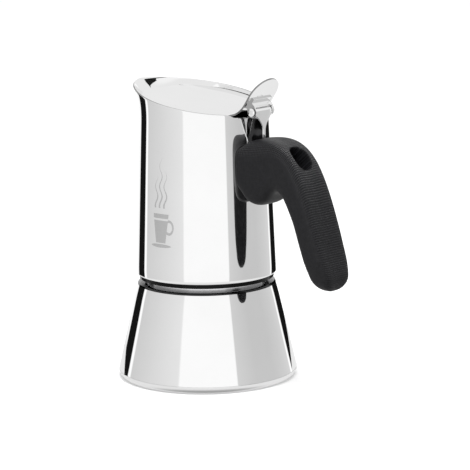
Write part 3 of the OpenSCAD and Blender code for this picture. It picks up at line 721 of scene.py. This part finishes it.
def spout_bump(sizes, turn):
    """How far the lip stands out at an angle, 0 at the hinge and a half turn at the spout."""
    from_spout = math.pi - abs(turn)
    return sizes.spout_reach * math.exp(-((from_spout / sizes.spout_spread) ** 1.23))


class MOKA_OT_vessel(bpy.types.Operator):
    """Spin the upper vessel's wall and draw out its slanted rim and spout"""
    bl_idname = "moka.vessel"
    bl_label = "Upper vessel"

    def execute(self, context):
        sizes = context.scene.moka_vessel
        low = VESSEL_FOOT_Z
        round_r = 0.8 * MM
        flare_rows = 24
        flare_low = sizes.rim_height - sizes.spout_height
        outline = arc(sizes.low_radius - round_r, low + round_r, round_r, -90, 0, 5)
        # rows above the foot start at any radius, and are moved onto the wall below
        guide_r = 0.03
        outline += [(guide_r, low + k * MM) for k in (4, 12, 24, 36, 46, 54)]
        outline += [(guide_r, flare_low + sizes.spout_height * k / flare_rows) for k in range(flare_rows + 1)]
        build = spun(outline, sizes.segments)
        for vert in build.verts:
            turn = math.atan2(vert.co.y, vert.co.x)
            if vert.co.z <= low + round_r + HAIR:
                continue
            z = vert.co.z
            rise = rim_level(sizes, turn) - sizes.rim_height
            if z >= flare_low - HAIR:
                z += rise
            share = max(0.0, 1 - (rim_level(sizes, turn) - z) / sizes.spout_height)
            radius = vessel_radius(sizes, z) + spout_bump(sizes, turn) * share ** 3
            vert.co = (radius * math.cos(turn), radius * math.sin(turn), z)
        bmesh.ops.recalc_face_normals(build, faces=build.faces)
        probe = max(build.faces, key=lambda face: face.calc_center_median().x)
        if probe.normal.x < 0:
            bmesh.ops.reverse_faces(build, faces=build.faces)
        piece = finished("vessel_wall", build, "vessel", finish_of("vessel_steel"),
                         replaces=("vessel_shell",), sharp=60)
        add_thickness(piece, "wall", sizes.wall, -1.0, "edge_steel")
        add_bevel(piece, 0.12 * MM, 60)
        return {"FINISHED"}


# ---- lid ----

class MOKA_OT_lid(bpy.types.Operator):
    """Cut the lid's flat outline, bend it up into the thumb tab and give it its thickness"""
    bl_idname = "moka.lid"
    bl_label = "Lid"

    def outline(self, sizes, bend_length):
        """Edge of the flat sheet: a circle with a straight front, a neck and a rounded tab."""
        r = sizes.radius
        half = sizes.tab_half_width
        neck_x = math.sqrt(r * r - half * half)
        start = math.atan2(half, neck_x)
        end = math.acos(-sizes.front / r)
        arc_steps = 56
        side = [(r * math.cos(start + (end - start) * k / arc_steps),
                 r * math.sin(start + (end - start) * k / arc_steps)) for k in range(arc_steps + 1)]
        tip_x = sizes.bend_start + bend_length + sizes.tab_length - half
        tab = [(tip_x + half * math.cos(math.radians(a)), half * math.sin(math.radians(a)))
               for a in range(0, 91, 6)]
        upper = tab + side
        lower = [(x, -y) for x, y in reversed(upper)][:-1]
        return upper + lower

    def execute(self, context):
        sizes = context.scene.moka_lid
        vessel = context.scene.moka_vessel
        tilt = vessel.rim_tilt
        bend_length = (tilt + sizes.tab_slope) * sizes.bend_radius
        # the flat sheet is measured along its slope
        build = bmesh.new()
        verts = [build.verts.new((x, y, 0)) for x, y in self.outline(sizes, bend_length)]
        for pair in zip(verts, verts[1:] + verts[:1]):
            build.edges.new(pair)
        bmesh.ops.contextual_create(build, geom=build.edges[:])
        # rounded: where the tab's neck leaves the round edge, and the ends of the straight front
        neck_end_x = 26.2 * MM
        corners = [v for v in build.verts
                   if abs(abs(v.co.y) - sizes.tab_half_width) < HAIR and v.co.x < neck_end_x]
        corners += [v for v in build.verts if abs(v.co.x + sizes.front) < HAIR]
        bmesh.ops.bevel(build, geom=corners, affect="VERTICES", offset=1.6 * MM, offset_type="OFFSET",
                        segments=5, profile=0.5, material=-1)
        cuts = 20
        for k in range(cuts + 1):
            bmesh.ops.bisect_plane(
                build, geom=build.verts[:] + build.edges[:] + build.faces[:], dist=0.0001 * MM,
                plane_co=(sizes.bend_start + bend_length * k / cuts, 0, 0), plane_no=(1, 0, 0))
        bmesh.ops.recalc_face_normals(build, faces=build.faces)
        if build.faces[:][0].normal.z < 0:
            bmesh.ops.reverse_faces(build, faces=build.faces)
        lid_z = vessel.rim_height - sizes.drop
        centre_x = sizes.bend_start + sizes.bend_radius * math.sin(tilt)
        centre_z = lid_z - math.tan(tilt) * sizes.bend_start + sizes.bend_radius * math.cos(tilt)
        for vert in build.verts:
            along = vert.co.x - sizes.bend_start
            if along <= 0:
                x = vert.co.x
                z = lid_z - math.tan(tilt) * x
            else:
                turn = -tilt + min(along, bend_length) / sizes.bend_radius
                x = centre_x + sizes.bend_radius * math.sin(turn)
                z = centre_z - sizes.bend_radius * math.cos(turn)
                past = max(0.0, along - bend_length)
                x += past * math.cos(turn)
                z += past * math.sin(turn)
            vert.co = (x, vert.co.y, z)
        bmesh.ops.recalc_face_normals(build, faces=build.faces)
        if sum(face.normal.z for face in build.faces) < 0:
            bmesh.ops.reverse_faces(build, faces=build.faces)
        piece = finished("lid_sheet", build, "lid", finish_of("polished_steel"),
                         replaces=("lid_plate",), sharp=40)
        add_thickness(piece, "sheet", sizes.thickness, -1.0, "edge_steel")
        add_bevel(piece, 0.14 * MM, 50, harden=True)
        return {"FINISHED"}


# ---- hinge bracket ----

# Share of the bracket's sheet thickness that is drawn
DRAWN_SHEET = 0.86


def strip(build, rows):
    """Extrudes an open line of vertices through each row of places in turn."""
    line = [build.verts.new(place) for place in rows[0]]
    edges = [build.edges.new(pair) for pair in zip(line, line[1:])]
    for places in rows[1:]:
        line = extrude_row(build, line, edges, places)
        edges = [build.edges.get(pair) for pair in zip(line, line[1:])]


class MOKA_OT_bracket(bpy.types.Operator):
    """Fold the hinge bracket: a web that rolls over the pin, and a gusset down to the wall on each side"""
    bl_idname = "moka.bracket"
    bl_label = "Hinge bracket"

    def web_half(self, sizes, z):
        share = (z - (PIN_Z - 8 * MM)) / (6.5 * MM)
        share = min(max(share, 0.0), 1.0)
        return sizes.web_narrow + (sizes.knuckle_half - sizes.web_narrow) * share ** 1.7

    def sheet_piece(self, name, build, sizes, finish, replaces=()):
        """A sheet of steel with bright cut edges."""
        bmesh.ops.recalc_face_normals(build, faces=build.faces)
        piece = finished(name, build, "vessel", finish_of(finish),
                         replaces=replaces, sharp=28)
        add_thickness(piece, "sheet", sizes.sheet * DRAWN_SHEET, 0.0, "polished_steel")
        add_bevel(piece, 0.12 * MM, 50)

    def execute(self, context):
        sizes = context.scene.moka_hinge
        vessel = context.scene.moka_vessel
        roll_r = (PIN_HIGH.x - PIN_LOW.x) / 2 - 0.4 * MM
        web_x = PIN_X + roll_r
        low_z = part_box("hinge_bracket")[0].z + 0.4 * MM
        steps = 30
        levels = [low_z + (PIN_Z - low_z) * k / steps for k in range(steps + 1)]
        shares = (-1, -0.5, 0, 0.5, 1)
        web = [[(web_x, self.web_half(sizes, z) * share, z) for share in shares] for z in levels]
        for k in range(1, 21):
            turn = math.radians(12.5 * k)
            web.append([(PIN_X + roll_r * math.cos(turn), sizes.knuckle_half * share,
                         PIN_Z + roll_r * math.sin(turn)) for share in shares])
        build = bmesh.new()
        strip(build, web)
        self.sheet_piece("bracket_web", build, sizes, "polished_steel", replaces=("hinge_bracket",))
        build = bmesh.new()
        high_z = PIN_Z - 2.3 * MM
        weld_z = vessel.rim_height - 16 * MM
        for side in (-1, 1):
            rows = []
            for z in levels:
                if z > high_z:
                    continue
                wall_x = vessel_radius(vessel, min(z, weld_z)) + 0.1 * MM
                share = max(0.0, (z - weld_z) / (high_z - weld_z))
                free_x = wall_x + (PIN_X - 0.3 * MM - wall_x) * share
                free_y = sizes.tang_half + (sizes.knuckle_half - sizes.tang_half) * share
                half = self.web_half(sizes, z)
                rows.append([(web_x + (free_x - web_x) * t, side * (half + (free_y - half) * t), z)
                             for t in (0, 0.33, 0.67, 1)])
            strip(build, rows)
        # painted shade: the gussets are coloured near-black to stand in for their shadow
        self.sheet_piece("bracket_gussets", build, sizes, "dark_steel")

        low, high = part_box("hinge_bracket")
        lug = bmesh.new()
        bmesh.ops.create_cube(lug, size=1.0)
        lug_low = Vector((vessel_radius(vessel, low.z) + 0.3 * MM, -sizes.tang_half, low.z))
        lug_high = Vector((high.x, sizes.tang_half, low.z + 2.6 * MM))
        middle = (lug_low + lug_high) / 2
        span = lug_high - lug_low
        bmesh.ops.scale(lug, vec=span, verts=lug.verts)
        bmesh.ops.translate(lug, vec=middle, verts=lug.verts)
        bmesh.ops.bevel(lug, geom=lug.edges[:], affect="EDGES", offset=0.3 * MM, offset_type="OFFSET",
                        segments=2, profile=0.5, material=-1)
        finished("bracket_lug", lug, "vessel", finish_of("turned_steel"))
        return {"FINISHED"}


# ---- handle ----

# Outer point, inner point and width of each section, from the rim's edge and height, root to tip
HANDLE_SECTIONS = (
    (-1.3, -18.2, -0.8, -38.6, 1.00),
    (3.2, -16.2, 3.2, -42.6, 1.01),
    (8.2, -14.9, 8.2, -44.0, 1.01),
    (14.2, -14.3, 12.8, -42.3, 1.01),
    (19.9, -15.2, 16.9, -38.4, 1.00),
    (24.9, -17.9, 20.7, -36.9, 1.00),
    (29.2, -22.1, 23.9, -39.2, 1.00),
    (32.6, -27.3, 26.2, -42.7, 1.00),
    (35.9, -33.9, 28.3, -46.6, 1.00),
    (39.1, -41.9, 30.2, -50.7, 1.00),
    (42.1, -50.5, 32.1, -56.2, 1.00),
    (45.0, -59.3, 33.9, -61.7, 0.98),
    (47.3, -65.7, 35.2, -66.1, 0.93),
    (48.9, -70.7, 36.7, -70.6, 0.82),
)
HANDLE_SIDES = 40
SECTION_STEPS = 4
TIP_RINGS = 7
# How far the rounded tip goes down and leans out, in mm, and how far it turns, in degrees
TIP_DROP = 7.2
TIP_LEAN = 1.6
TIP_TURN = 86
# Depth of the hollow along the outer face, in mm, and the share of the width that it takes
DISH = 0.7
DISH_WIDTH = 0.84
# Middle of the hanging hole, from the rim's edge and height, and the way it is cut
HOLE_OUT = 27.9 * MM
HOLE_DOWN = 21.7 * MM
HOLE_AXIS = (0.757, 0, 0.653)
HOLE_FLOOR = -15 * MM
HOLE_POWER = 2.3


def curve_between(points, i, t):
    """Catmull-Rom value between two of a list of rows."""
    a = points[max(i - 1, 0)]
    b = points[i]
    c = points[i + 1]
    d = points[min(i + 2, len(points) - 1)]
    return [0.5 * (2 * q + (r - p) * t + (2 * p - 5 * q + 4 * r - s) * t * t
                   + (3 * q - p - 3 * r + s) * t ** 3) for p, q, r, s in zip(a, b, c, d)]


def even_outline(half_a, half_b, power, count):
    """Points at even steps round a rounded rectangle, the first on the outer face's middle."""
    fine = 720
    dense = []
    for k in range(fine):
        dense.append(round_corner(FULL_TURN * k / fine, 2 / power, half_a, half_b))
    lengths = [0.0]
    for p, q in zip(dense, dense[1:] + dense[:1]):
        lengths.append(lengths[-1] + math.dist(p, q))
    made = []
    at = 0
    for k in range(count):
        goal = lengths[-1] * k / count
        while lengths[at + 1] < goal:
            at += 1
        made.append(dense[at])
    return made


def closed_edges(build, row):
    """The edges between the vertices of a closed ring."""
    return [build.edges.get(pair) for pair in zip(row, row[1:] + row[:1])]


def loft(build, rings):
    """Extrudes a closed ring of vertices through each ring of places in turn."""
    row = bmesh.ops.create_circle(build, segments=len(rings[0]), radius=1.0)["verts"]
    rows = [row]
    for vert, place in zip(row, rings[0]):
        vert.co = place
    for places in rings[1:]:
        row = extrude_row(build, row, closed_edges(build, row), places)
        rows.append(row)
    return rows


class MOKA_OT_handle(bpy.types.Operator):
    """Loft the curved handle, cut its hanging hole and map its length and girth"""
    bl_idname = "moka.handle"
    bl_label = "Handle"

    def rings(self, sizes, vessel):
        rim_x = vessel.rim_radius / MM
        rim_z = vessel.rim_height / MM
        controls = [(rim_x + a, rim_z + b, rim_x + c, rim_z + d, w) for a, b, c, d, w in HANDLE_SECTIONS]
        path = [curve_between(controls, i, k / SECTION_STEPS)
                for i in range(len(controls) - 1) for k in range(SECTION_STEPS)]
        path.append(list(controls[-1]))
        last = controls[-1]
        half = sizes.half_width / MM
        spans = [(row, 1.0) for row in path]
        for k in range(1, TIP_RINGS + 1):
            turn = math.radians(k * TIP_TURN / TIP_RINGS)
            sink = TIP_DROP * math.sin(turn)
            lean = TIP_LEAN * math.sin(turn)
            row = (last[0] + lean * 0.6, last[1] - sink, last[2] + lean * 1.6, last[3] - sink, last[4])
            spans.append((row, math.cos(turn) ** 0.9))
        rings = []
        for (ox, oz, ix, iz, wide), scale in spans:
            centre = ((ox + ix) / 2, (oz + iz) / 2)
            reach = ((ox - ix) / 2, (oz - iz) / 2)
            depth = math.hypot(*reach)
            points = even_outline(depth * scale, half * wide * scale, sizes.squareness, HANDLE_SIDES)
            hollow = scale * DISH * smooth_step((ox - rim_x - 6) / 12)
            points = [(u - hollow * max(0.0, math.cos(v / half / DISH_WIDTH * math.pi / 2)) ** 2
                       if u > 0 else u, v) for u, v in points]
            rings.append([Vector((centre[0] + reach[0] * u / depth, v, centre[1] + reach[1] * u / depth)) * MM
                          for u, v in points])
        return rings

    def seat_root(self, rings, vessel):
        """Keeps the rings that stand clear of the vessel's wall, and brings the first onto it."""
        def wall_x(place):
            wall = vessel_radius(vessel, place.z) + 0.05 * MM
            return math.sqrt(max(wall * wall - place.y * place.y, 0.0))

        clear = [ring for ring in rings[1:] if min(place.x - wall_x(place) for place in ring) > 0.8 * MM]
        first = [Vector((wall_x(place), place.y, place.z)) for place in rings[0]]
        return [first] + clear

    def cut_hole(self, build, sizes, vessel):
        """Opens the outer face over the hole and draws its edge in, as deep as the hole goes."""
        centre = Vector((vessel.rim_radius + HOLE_OUT, 0, vessel.rim_height - HOLE_DOWN))
        axis = Vector(HOLE_AXIS).normalized()
        along = Vector((axis.z, 0, -axis.x))
        half_l = sizes.hole_length / 2
        half_w = sizes.hole_width / 2
        tree = BVHTree.FromBMesh(build)
        inside = []
        for face in build.faces:
            away = face.calc_center_median() - centre
            s, y = away.dot(along), away.y
            if away.dot(axis) > -3 * MM and (s / half_l) ** 2 + (y / half_w) ** 2 < 0.80:
                inside.append(face)
        chosen = set(inside)
        edges = [e for e in {e for face in inside for e in face.edges}
                 if sum(face in chosen for face in e.link_faces) == 1]
        bmesh.ops.delete(build, geom=inside, context="FACES_ONLY")
        bmesh.ops.delete(build, geom=[e for e in build.edges if not e.link_faces], context="EDGES")
        bmesh.ops.delete(build, geom=[v for v in build.verts if not v.link_edges], context="VERTS")
        for vert in {v for e in edges for v in e.verts}:
            away = vert.co - centre
            turn = math.atan2(away.y / half_w, away.dot(along) / half_l)
            s, y = round_corner(turn, 2 / HOLE_POWER, half_l, half_w)
            start = centre + along * s + Vector((0, y, 0)) + axis * (30 * MM)
            hit = tree.ray_cast(start, -axis)[0]
            if hit is not None:
                vert.co = hit
        # two short steps inwards round off the mouth of the hole, then it goes straight down
        for depth, shrink in ((0.3 * MM, 0.97), (1.0 * MM, 0.94), (5 * MM, 1.0), (None, 1.0), (None, 0.5)):
            grown = bmesh.ops.extrude_edge_only(build, edges=edges)["geom"]
            edges = [g for g in grown if isinstance(g, bmesh.types.BMEdge) and len(g.link_faces) == 1]
            for vert in {v for e in edges for v in e.verts}:
                away = vert.co - centre
                height = away.dot(axis)
                flat = (away - height * axis) * shrink
                vert.co = centre + flat + axis * (HOLE_FLOOR if depth is None else height - depth)
        bmesh.ops.contextual_create(build, geom=edges)

    def execute(self, context):
        sizes = context.scene.moka_handle
        vessel = context.scene.moka_vessel
        rings = self.seat_root(self.rings(sizes, vessel), vessel)
        build = bmesh.new()
        rows = loft(build, rings)
        surface = build.loops.layers.uv.new("surface")
        lengths = [0.0]
        for a, b in zip(rings, rings[1:]):
            middle = (a[0] + a[HANDLE_SIDES // 2]) / 2 - (b[0] + b[HANDLE_SIDES // 2]) / 2
            lengths.append(lengths[-1] + middle.length / MM)
        place_of = {}
        for i, row in enumerate(rows):
            for j, vert in enumerate(row):
                place_of[vert] = (i, j)
        girth = HANDLE_GIRTH / HANDLE_SIDES
        for face in build.faces:
            columns = [place_of[loop.vert][1] for loop in face.loops]
            wraps = max(columns) - min(columns) > 1
            for loop in face.loops:
                i, j = place_of[loop.vert]
                column = j - HANDLE_SIDES if wraps and j > 1 else j
                loop[surface].uv = (lengths[i], column * girth)
        for row in (rows[0], rows[-1]):
            bmesh.ops.contextual_create(build, geom=closed_edges(build, row))
        bmesh.ops.recalc_face_normals(build, faces=build.faces)
        self.cut_hole(build, sizes, vessel)
        bmesh.ops.recalc_face_normals(build, faces=build.faces)
        crease = build.edges.layers.float.new("crease_edge")
        for edge in closed_edges(build, rows[0]):
            edge[crease] = 1.0
        piece = finished("handle_body", build, "vessel", finish_of("handle_plastic"),
                         replaces=("handle_grip",), sharp=0)
        fine = piece.modifiers.new("fine_surface", "SUBSURF")
        fine.levels = 2
        fine.render_levels = 2
        return {"FINISHED"}


# ---- pieces kept from the frame ----

FRAME_FINISHES = {
    "boiler_neck": "neck_steel", "valve_body": "brass", "valve_nut": "brass", "valve_cap": "brass",
    "valve_washer": "valve_rubber", "valve_spring": "spring_steel", "valve_ball": "spring_steel",
    "funnel": "turned_steel", "funnel_filter": "filter_steel", "gasket": "gasket_rubber",
    "filter_plate": "filter_steel", "threaded_collar": "collar_steel", "vessel_floor": "turned_steel",
    "riser_column": "turned_steel", "column_cap": "turned_steel", "hinge_bracket": "polished_steel",
    "handle_screw": "screw_steel", "handle_washer": "screw_steel", "lid_leaf": "leaf_steel",
    "hinge_pin": "polished_steel", "lid_plate": "polished_steel", "vessel_shell": "polished_steel",
    "boiler_shell": "polished_steel", "base_cap": "base_steel", "base_core": "aluminium",
    "handle_grip": "handle_plastic",
}


class MOKA_OT_inner_parts(bpy.types.Operator):
    """Give every piece that comes from the frame its own finish"""
    bl_idname = "moka.inner_parts"
    bl_label = "Inner parts"

    def execute(self, context):
        for name, finish in FRAME_FINISHES.items():
            mesh = frame["nodes"][name].data
            mesh.materials.clear()
            mesh.materials.append(finish_of(finish))
        return {"FINISHED"}


# ---- studio ----

# Brightness of the ring of cards, by degrees round from the camera
CARD_STOPS = (
    (-180, 1.02), (-143, 1.02), (-142.4, 0.008), (-117.6, 0.008), (-117, 1.1), (-111.5, 1.1), (-110, 0.66),
    (-80, 0.72), (-35.5, 0.84), (-34.5, 1.04), (35.5, 1.04), (36.5, 0.68), (62, 0.60), (88, 0.60),
    (110, 0.66), (124, 0.72), (124.6, 1.1), (129.4, 1.1), (130, 0.008), (159, 0.008), (159.6, 1.02),
    (180, 1.02),
)
# Lower and upper edge of the ring, in metres
CARDS_LOW = -0.018
CARDS_HIGH = 0.17
# What the high card and the lamps face, and how far off the high card is
SPOUT_PLACE = (-0.035, 0, 0.12)
POT_MIDDLE = (0, 0, 0.08)
HIGH_CARD_AWAY = 0.5


class MOKA_OT_studio(bpy.types.Operator):
    """Set the camera, the pale floor, the ring of cards and the soft lights"""
    bl_idname = "moka.studio"
    bl_label = "Studio"

    def camera(self, studio):
        roll = studio.roll
        back = direction_of(studio.azimuth, studio.elevation)
        right = (-back).cross(Vector((0, 0, 1))).normalized()
        up = right.cross(-back)
        right, up = (right * math.cos(roll) + up * math.sin(roll),
                     up * math.cos(roll) - right * math.sin(roll))
        data = bpy.data.cameras.new("camera")
        data.lens = studio.lens
        data.sensor_width = 36.0
        data.clip_start = 0.05
        data.clip_end = 20.0
        camera = place_object("camera", data)
        turned = Matrix((right, up, back)).transposed().to_4x4()
        camera.matrix_world = Matrix.Translation(Vector(studio.aim) + back * studio.distance) @ turned
        bpy.context.scene.camera = camera

    def card_material(self, studio):
        """Light and dark cards in one ring, by the direction from the pot's axis."""
        material = bpy.data.materials.new("cards")
        material.use_nodes = True
        tree = material.node_tree
        tree.nodes.clear()
        where = tree.nodes.new("ShaderNodeTexCoord").outputs["Object"]
        parts = split(tree, where)
        # the turn from the camera's side, as a share of a full turn
        facing = math_node(tree, "ARCTAN2", parts["X"], math_node(tree, "MULTIPLY", parts["Y"], -1.0))
        shifted = math_node(tree, "SUBTRACT", facing, studio.azimuth)
        share = math_node(tree, "FRACT", math_node(
            tree, "ADD", math_node(tree, "DIVIDE", shifted, FULL_TURN), 1.5))
        ramp = tree.nodes.new("ShaderNodeValToRGB")
        elements = ramp.color_ramp.elements
        for k, (degrees, value) in enumerate(CARD_STOPS):
            position = degrees / 360 + 0.5
            stop = elements[k] if k < 2 else elements.new(position)
            stop.position = position
            stop.color = (value, value, value, 1)
        tree.links.new(share, ramp.inputs["Fac"])
        glow = tree.nodes.new("ShaderNodeEmission")
        tree.links.new(ramp.outputs["Color"], glow.inputs["Color"])
        out = tree.nodes.new("ShaderNodeOutputMaterial")
        tree.links.new(glow.outputs[0], out.inputs["Surface"])
        return material

    def ring_of_cards(self, studio):
        r = studio.tent_radius
        mesh = mesh_of("cards", spun([(r, CARDS_LOW), (r, CARDS_HIGH)], 128), self.card_material(studio))
        mesh.shade_smooth()
        cards = place_object("cards", mesh)
        self.only_mirrored(cards)

    def only_mirrored(self, card):
        """Leaves a card to be seen in reflections alone."""
        for ray in ("camera", "diffuse", "shadow", "transmission", "volume_scatter"):
            setattr(card, "visible_" + ray, False)

    def high_card(self, studio):
        """A dark card up behind the pot, mirrored inside the spout."""
        build = bmesh.new()
        made = bmesh.ops.create_grid(build, x_segments=1, y_segments=1, size=0.5)["verts"]
        bmesh.ops.scale(build, vec=(studio.high_card_size[0], studio.high_card_size[1], 1), verts=made)
        away = direction_of(studio.azimuth + studio.high_card_turn, studio.high_card_lift)
        faced = away.to_track_quat("Z", "Y").to_matrix().to_4x4()
        place = Matrix.Translation(Vector(SPOUT_PLACE) + away * HIGH_CARD_AWAY) @ faced
        bmesh.ops.transform(build, matrix=place, verts=made)
        material, _, shader, _ = bare_material("black_card")
        shader.inputs["Base Color"].default_value = (0.01, 0.01, 0.01, 1)
        shader.inputs["Specular IOR Level"].default_value = 0.0
        card = place_object("high_card", mesh_of("high_card", build, material))
        self.only_mirrored(card)

    def floor(self):
        build = bmesh.new()
        bmesh.ops.create_circle(build, cap_ends=True, segments=96, radius=6.0)
        material, tree, shader, where = bare_material("floor_paper")
        grain = noise(tree, where, 400.0, 3.0)
        tint(tree, shader, grain, (0.93, 0.93, 0.93), (0.95, 0.95, 0.95))
        use_bump(tree, shader, grain, 0.05, 0.05 * MM)
        shader.inputs["Roughness"].default_value = 0.9
        shader.inputs["Specular IOR Level"].default_value = 0.0
        floor = place_object("floor", mesh_of("floor", build, material))
        # mirrored in the steel, the ground is the grey of the room instead
        floor.visible_glossy = False

    def light(self, name, direction, distance, size, power):
        data = bpy.data.lights.new(name, "AREA")
        data.shape = "DISK"
        data.size = size
        data.energy = power
        lamp = place_object(name, data)
        away = Vector(direction).normalized()
        lamp.location = Vector(POT_MIDDLE) + away * distance
        lamp.rotation_mode = "QUATERNION"
        lamp.rotation_quaternion = away.to_track_quat("Z", "Y")
        lamp.visible_glossy = False
        return lamp

    def white_room(self, context, studio):
        world = bpy.data.worlds.new("white_room")
        context.scene.world = world
        world.use_nodes = True
        tree = world.node_tree
        ground = tree.nodes["Background"]
        ground.inputs["Color"].default_value = (1, 1, 1, 1)
        # reflections see a slightly grey room with a brighter ceiling
        rays = tree.nodes.new("ShaderNodeLightPath")
        sky = tree.nodes.new("ShaderNodeTexCoord")
        height = split(tree, sky.outputs["Generated"])["Z"]
        lift = node(tree, "ShaderNodeMapRange", interpolation_type="SMOOTHSTEP",
                    in_From_Min=0.86, in_From_Max=0.97, in_To_Min=studio.room, in_To_Max=studio.ceiling)
        tree.links.new(height, lift.inputs["Value"])
        mixed = node(tree, "ShaderNodeMix", data_type="FLOAT")
        tree.links.new(rays.outputs["Is Glossy Ray"], mixed.inputs["Factor"])
        mixed.inputs["A"].default_value = studio.white
        ground_shade = node(tree, "ShaderNodeMapRange", interpolation_type="SMOOTHSTEP",
                            in_From_Min=-0.98, in_From_Max=-0.72, in_To_Min=studio.below, in_To_Max=1.0)
        tree.links.new(height, ground_shade.inputs["Value"])
        room = math_node(tree, "MULTIPLY", lift.outputs["Result"], ground_shade.outputs["Result"])
        tree.links.new(room, mixed.inputs["B"])
        tree.links.new(mixed.outputs["Result"], ground.inputs["Strength"])
        context.scene.view_settings.view_transform = "Standard"
        context.scene.view_settings.look = "None"

    def execute(self, context):
        studio = context.scene.moka_studio
        self.camera(studio)
        self.floor()
        self.ring_of_cards(studio)
        self.high_card(studio)
        self.white_room(context, studio)
        self.light("top_light", (0.3, -0.2, 1.0), 0.9, 0.5, 6.0)
        # two soft lamps that only the black handle sees, for the sheen along its edge and top
        handle_only = bpy.data.collections.new("handle_only")
        handle_only.objects.link(bpy.data.objects["handle_body"])
        for name, direction in (("edge_sheen", (0.27, -0.57, 0.65)), ("top_sheen", (0.0, 0.73, 0.68))):
            lamp = self.light(name, direction, 0.6, 0.3, studio.sheen)
            lamp.visible_glossy = True
            lamp.light_linking.receiver_collection = handle_only
        return {"FINISHED"}


# ---- panel ----

STEPS = (MOKA_OT_boiler, MOKA_OT_vessel, MOKA_OT_lid, MOKA_OT_bracket, MOKA_OT_handle,
         MOKA_OT_inner_parts, MOKA_OT_studio)
GROUPS = {
    "moka_boiler": MokaBoilerSizes, "moka_vessel": MokaVesselSizes, "moka_lid": MokaLidSizes,
    "moka_hinge": MokaHingeSizes, "moka_handle": MokaHandleSizes, "moka_finish": MokaFinish,
    "moka_studio": MokaStudio,
}


class MOKA_PT_panel(bpy.types.Panel):
    """Sizes, finishes and building steps of the moka pot"""
    bl_idname = "MOKA_PT_panel"
    bl_label = "Moka pot"
    bl_space_type = "VIEW_3D"
    bl_region_type = "UI"
    bl_category = "Moka pot"

    def draw(self, context):
        layout = self.layout
        for label in GROUPS:
            group = getattr(context.scene, label)
            box = layout.box()
            box.label(text=label.replace("moka_", "").capitalize())
            for key in group.__annotations__:
                box.prop(group, key)
        for step in STEPS:
            layout.operator(step.bl_idname)


def register():
    for kind in (*GROUPS.values(), *STEPS, MOKA_PT_panel):
        bpy.utils.register_class(kind)
    for label, kind in GROUPS.items():
        setattr(bpy.types.Scene, label, PointerProperty(type=kind))


def unregister():
    for label in GROUPS:
        delattr(bpy.types.Scene, label)
    for kind in reversed((*GROUPS.values(), *STEPS, MOKA_PT_panel)):
        bpy.utils.unregister_class(kind)


def main():
    register()
    for step in STEPS:
        group, name = step.bl_idname.split(".")
        getattr(getattr(bpy.ops, group), name)()


if __name__ == "__main__":
    main()
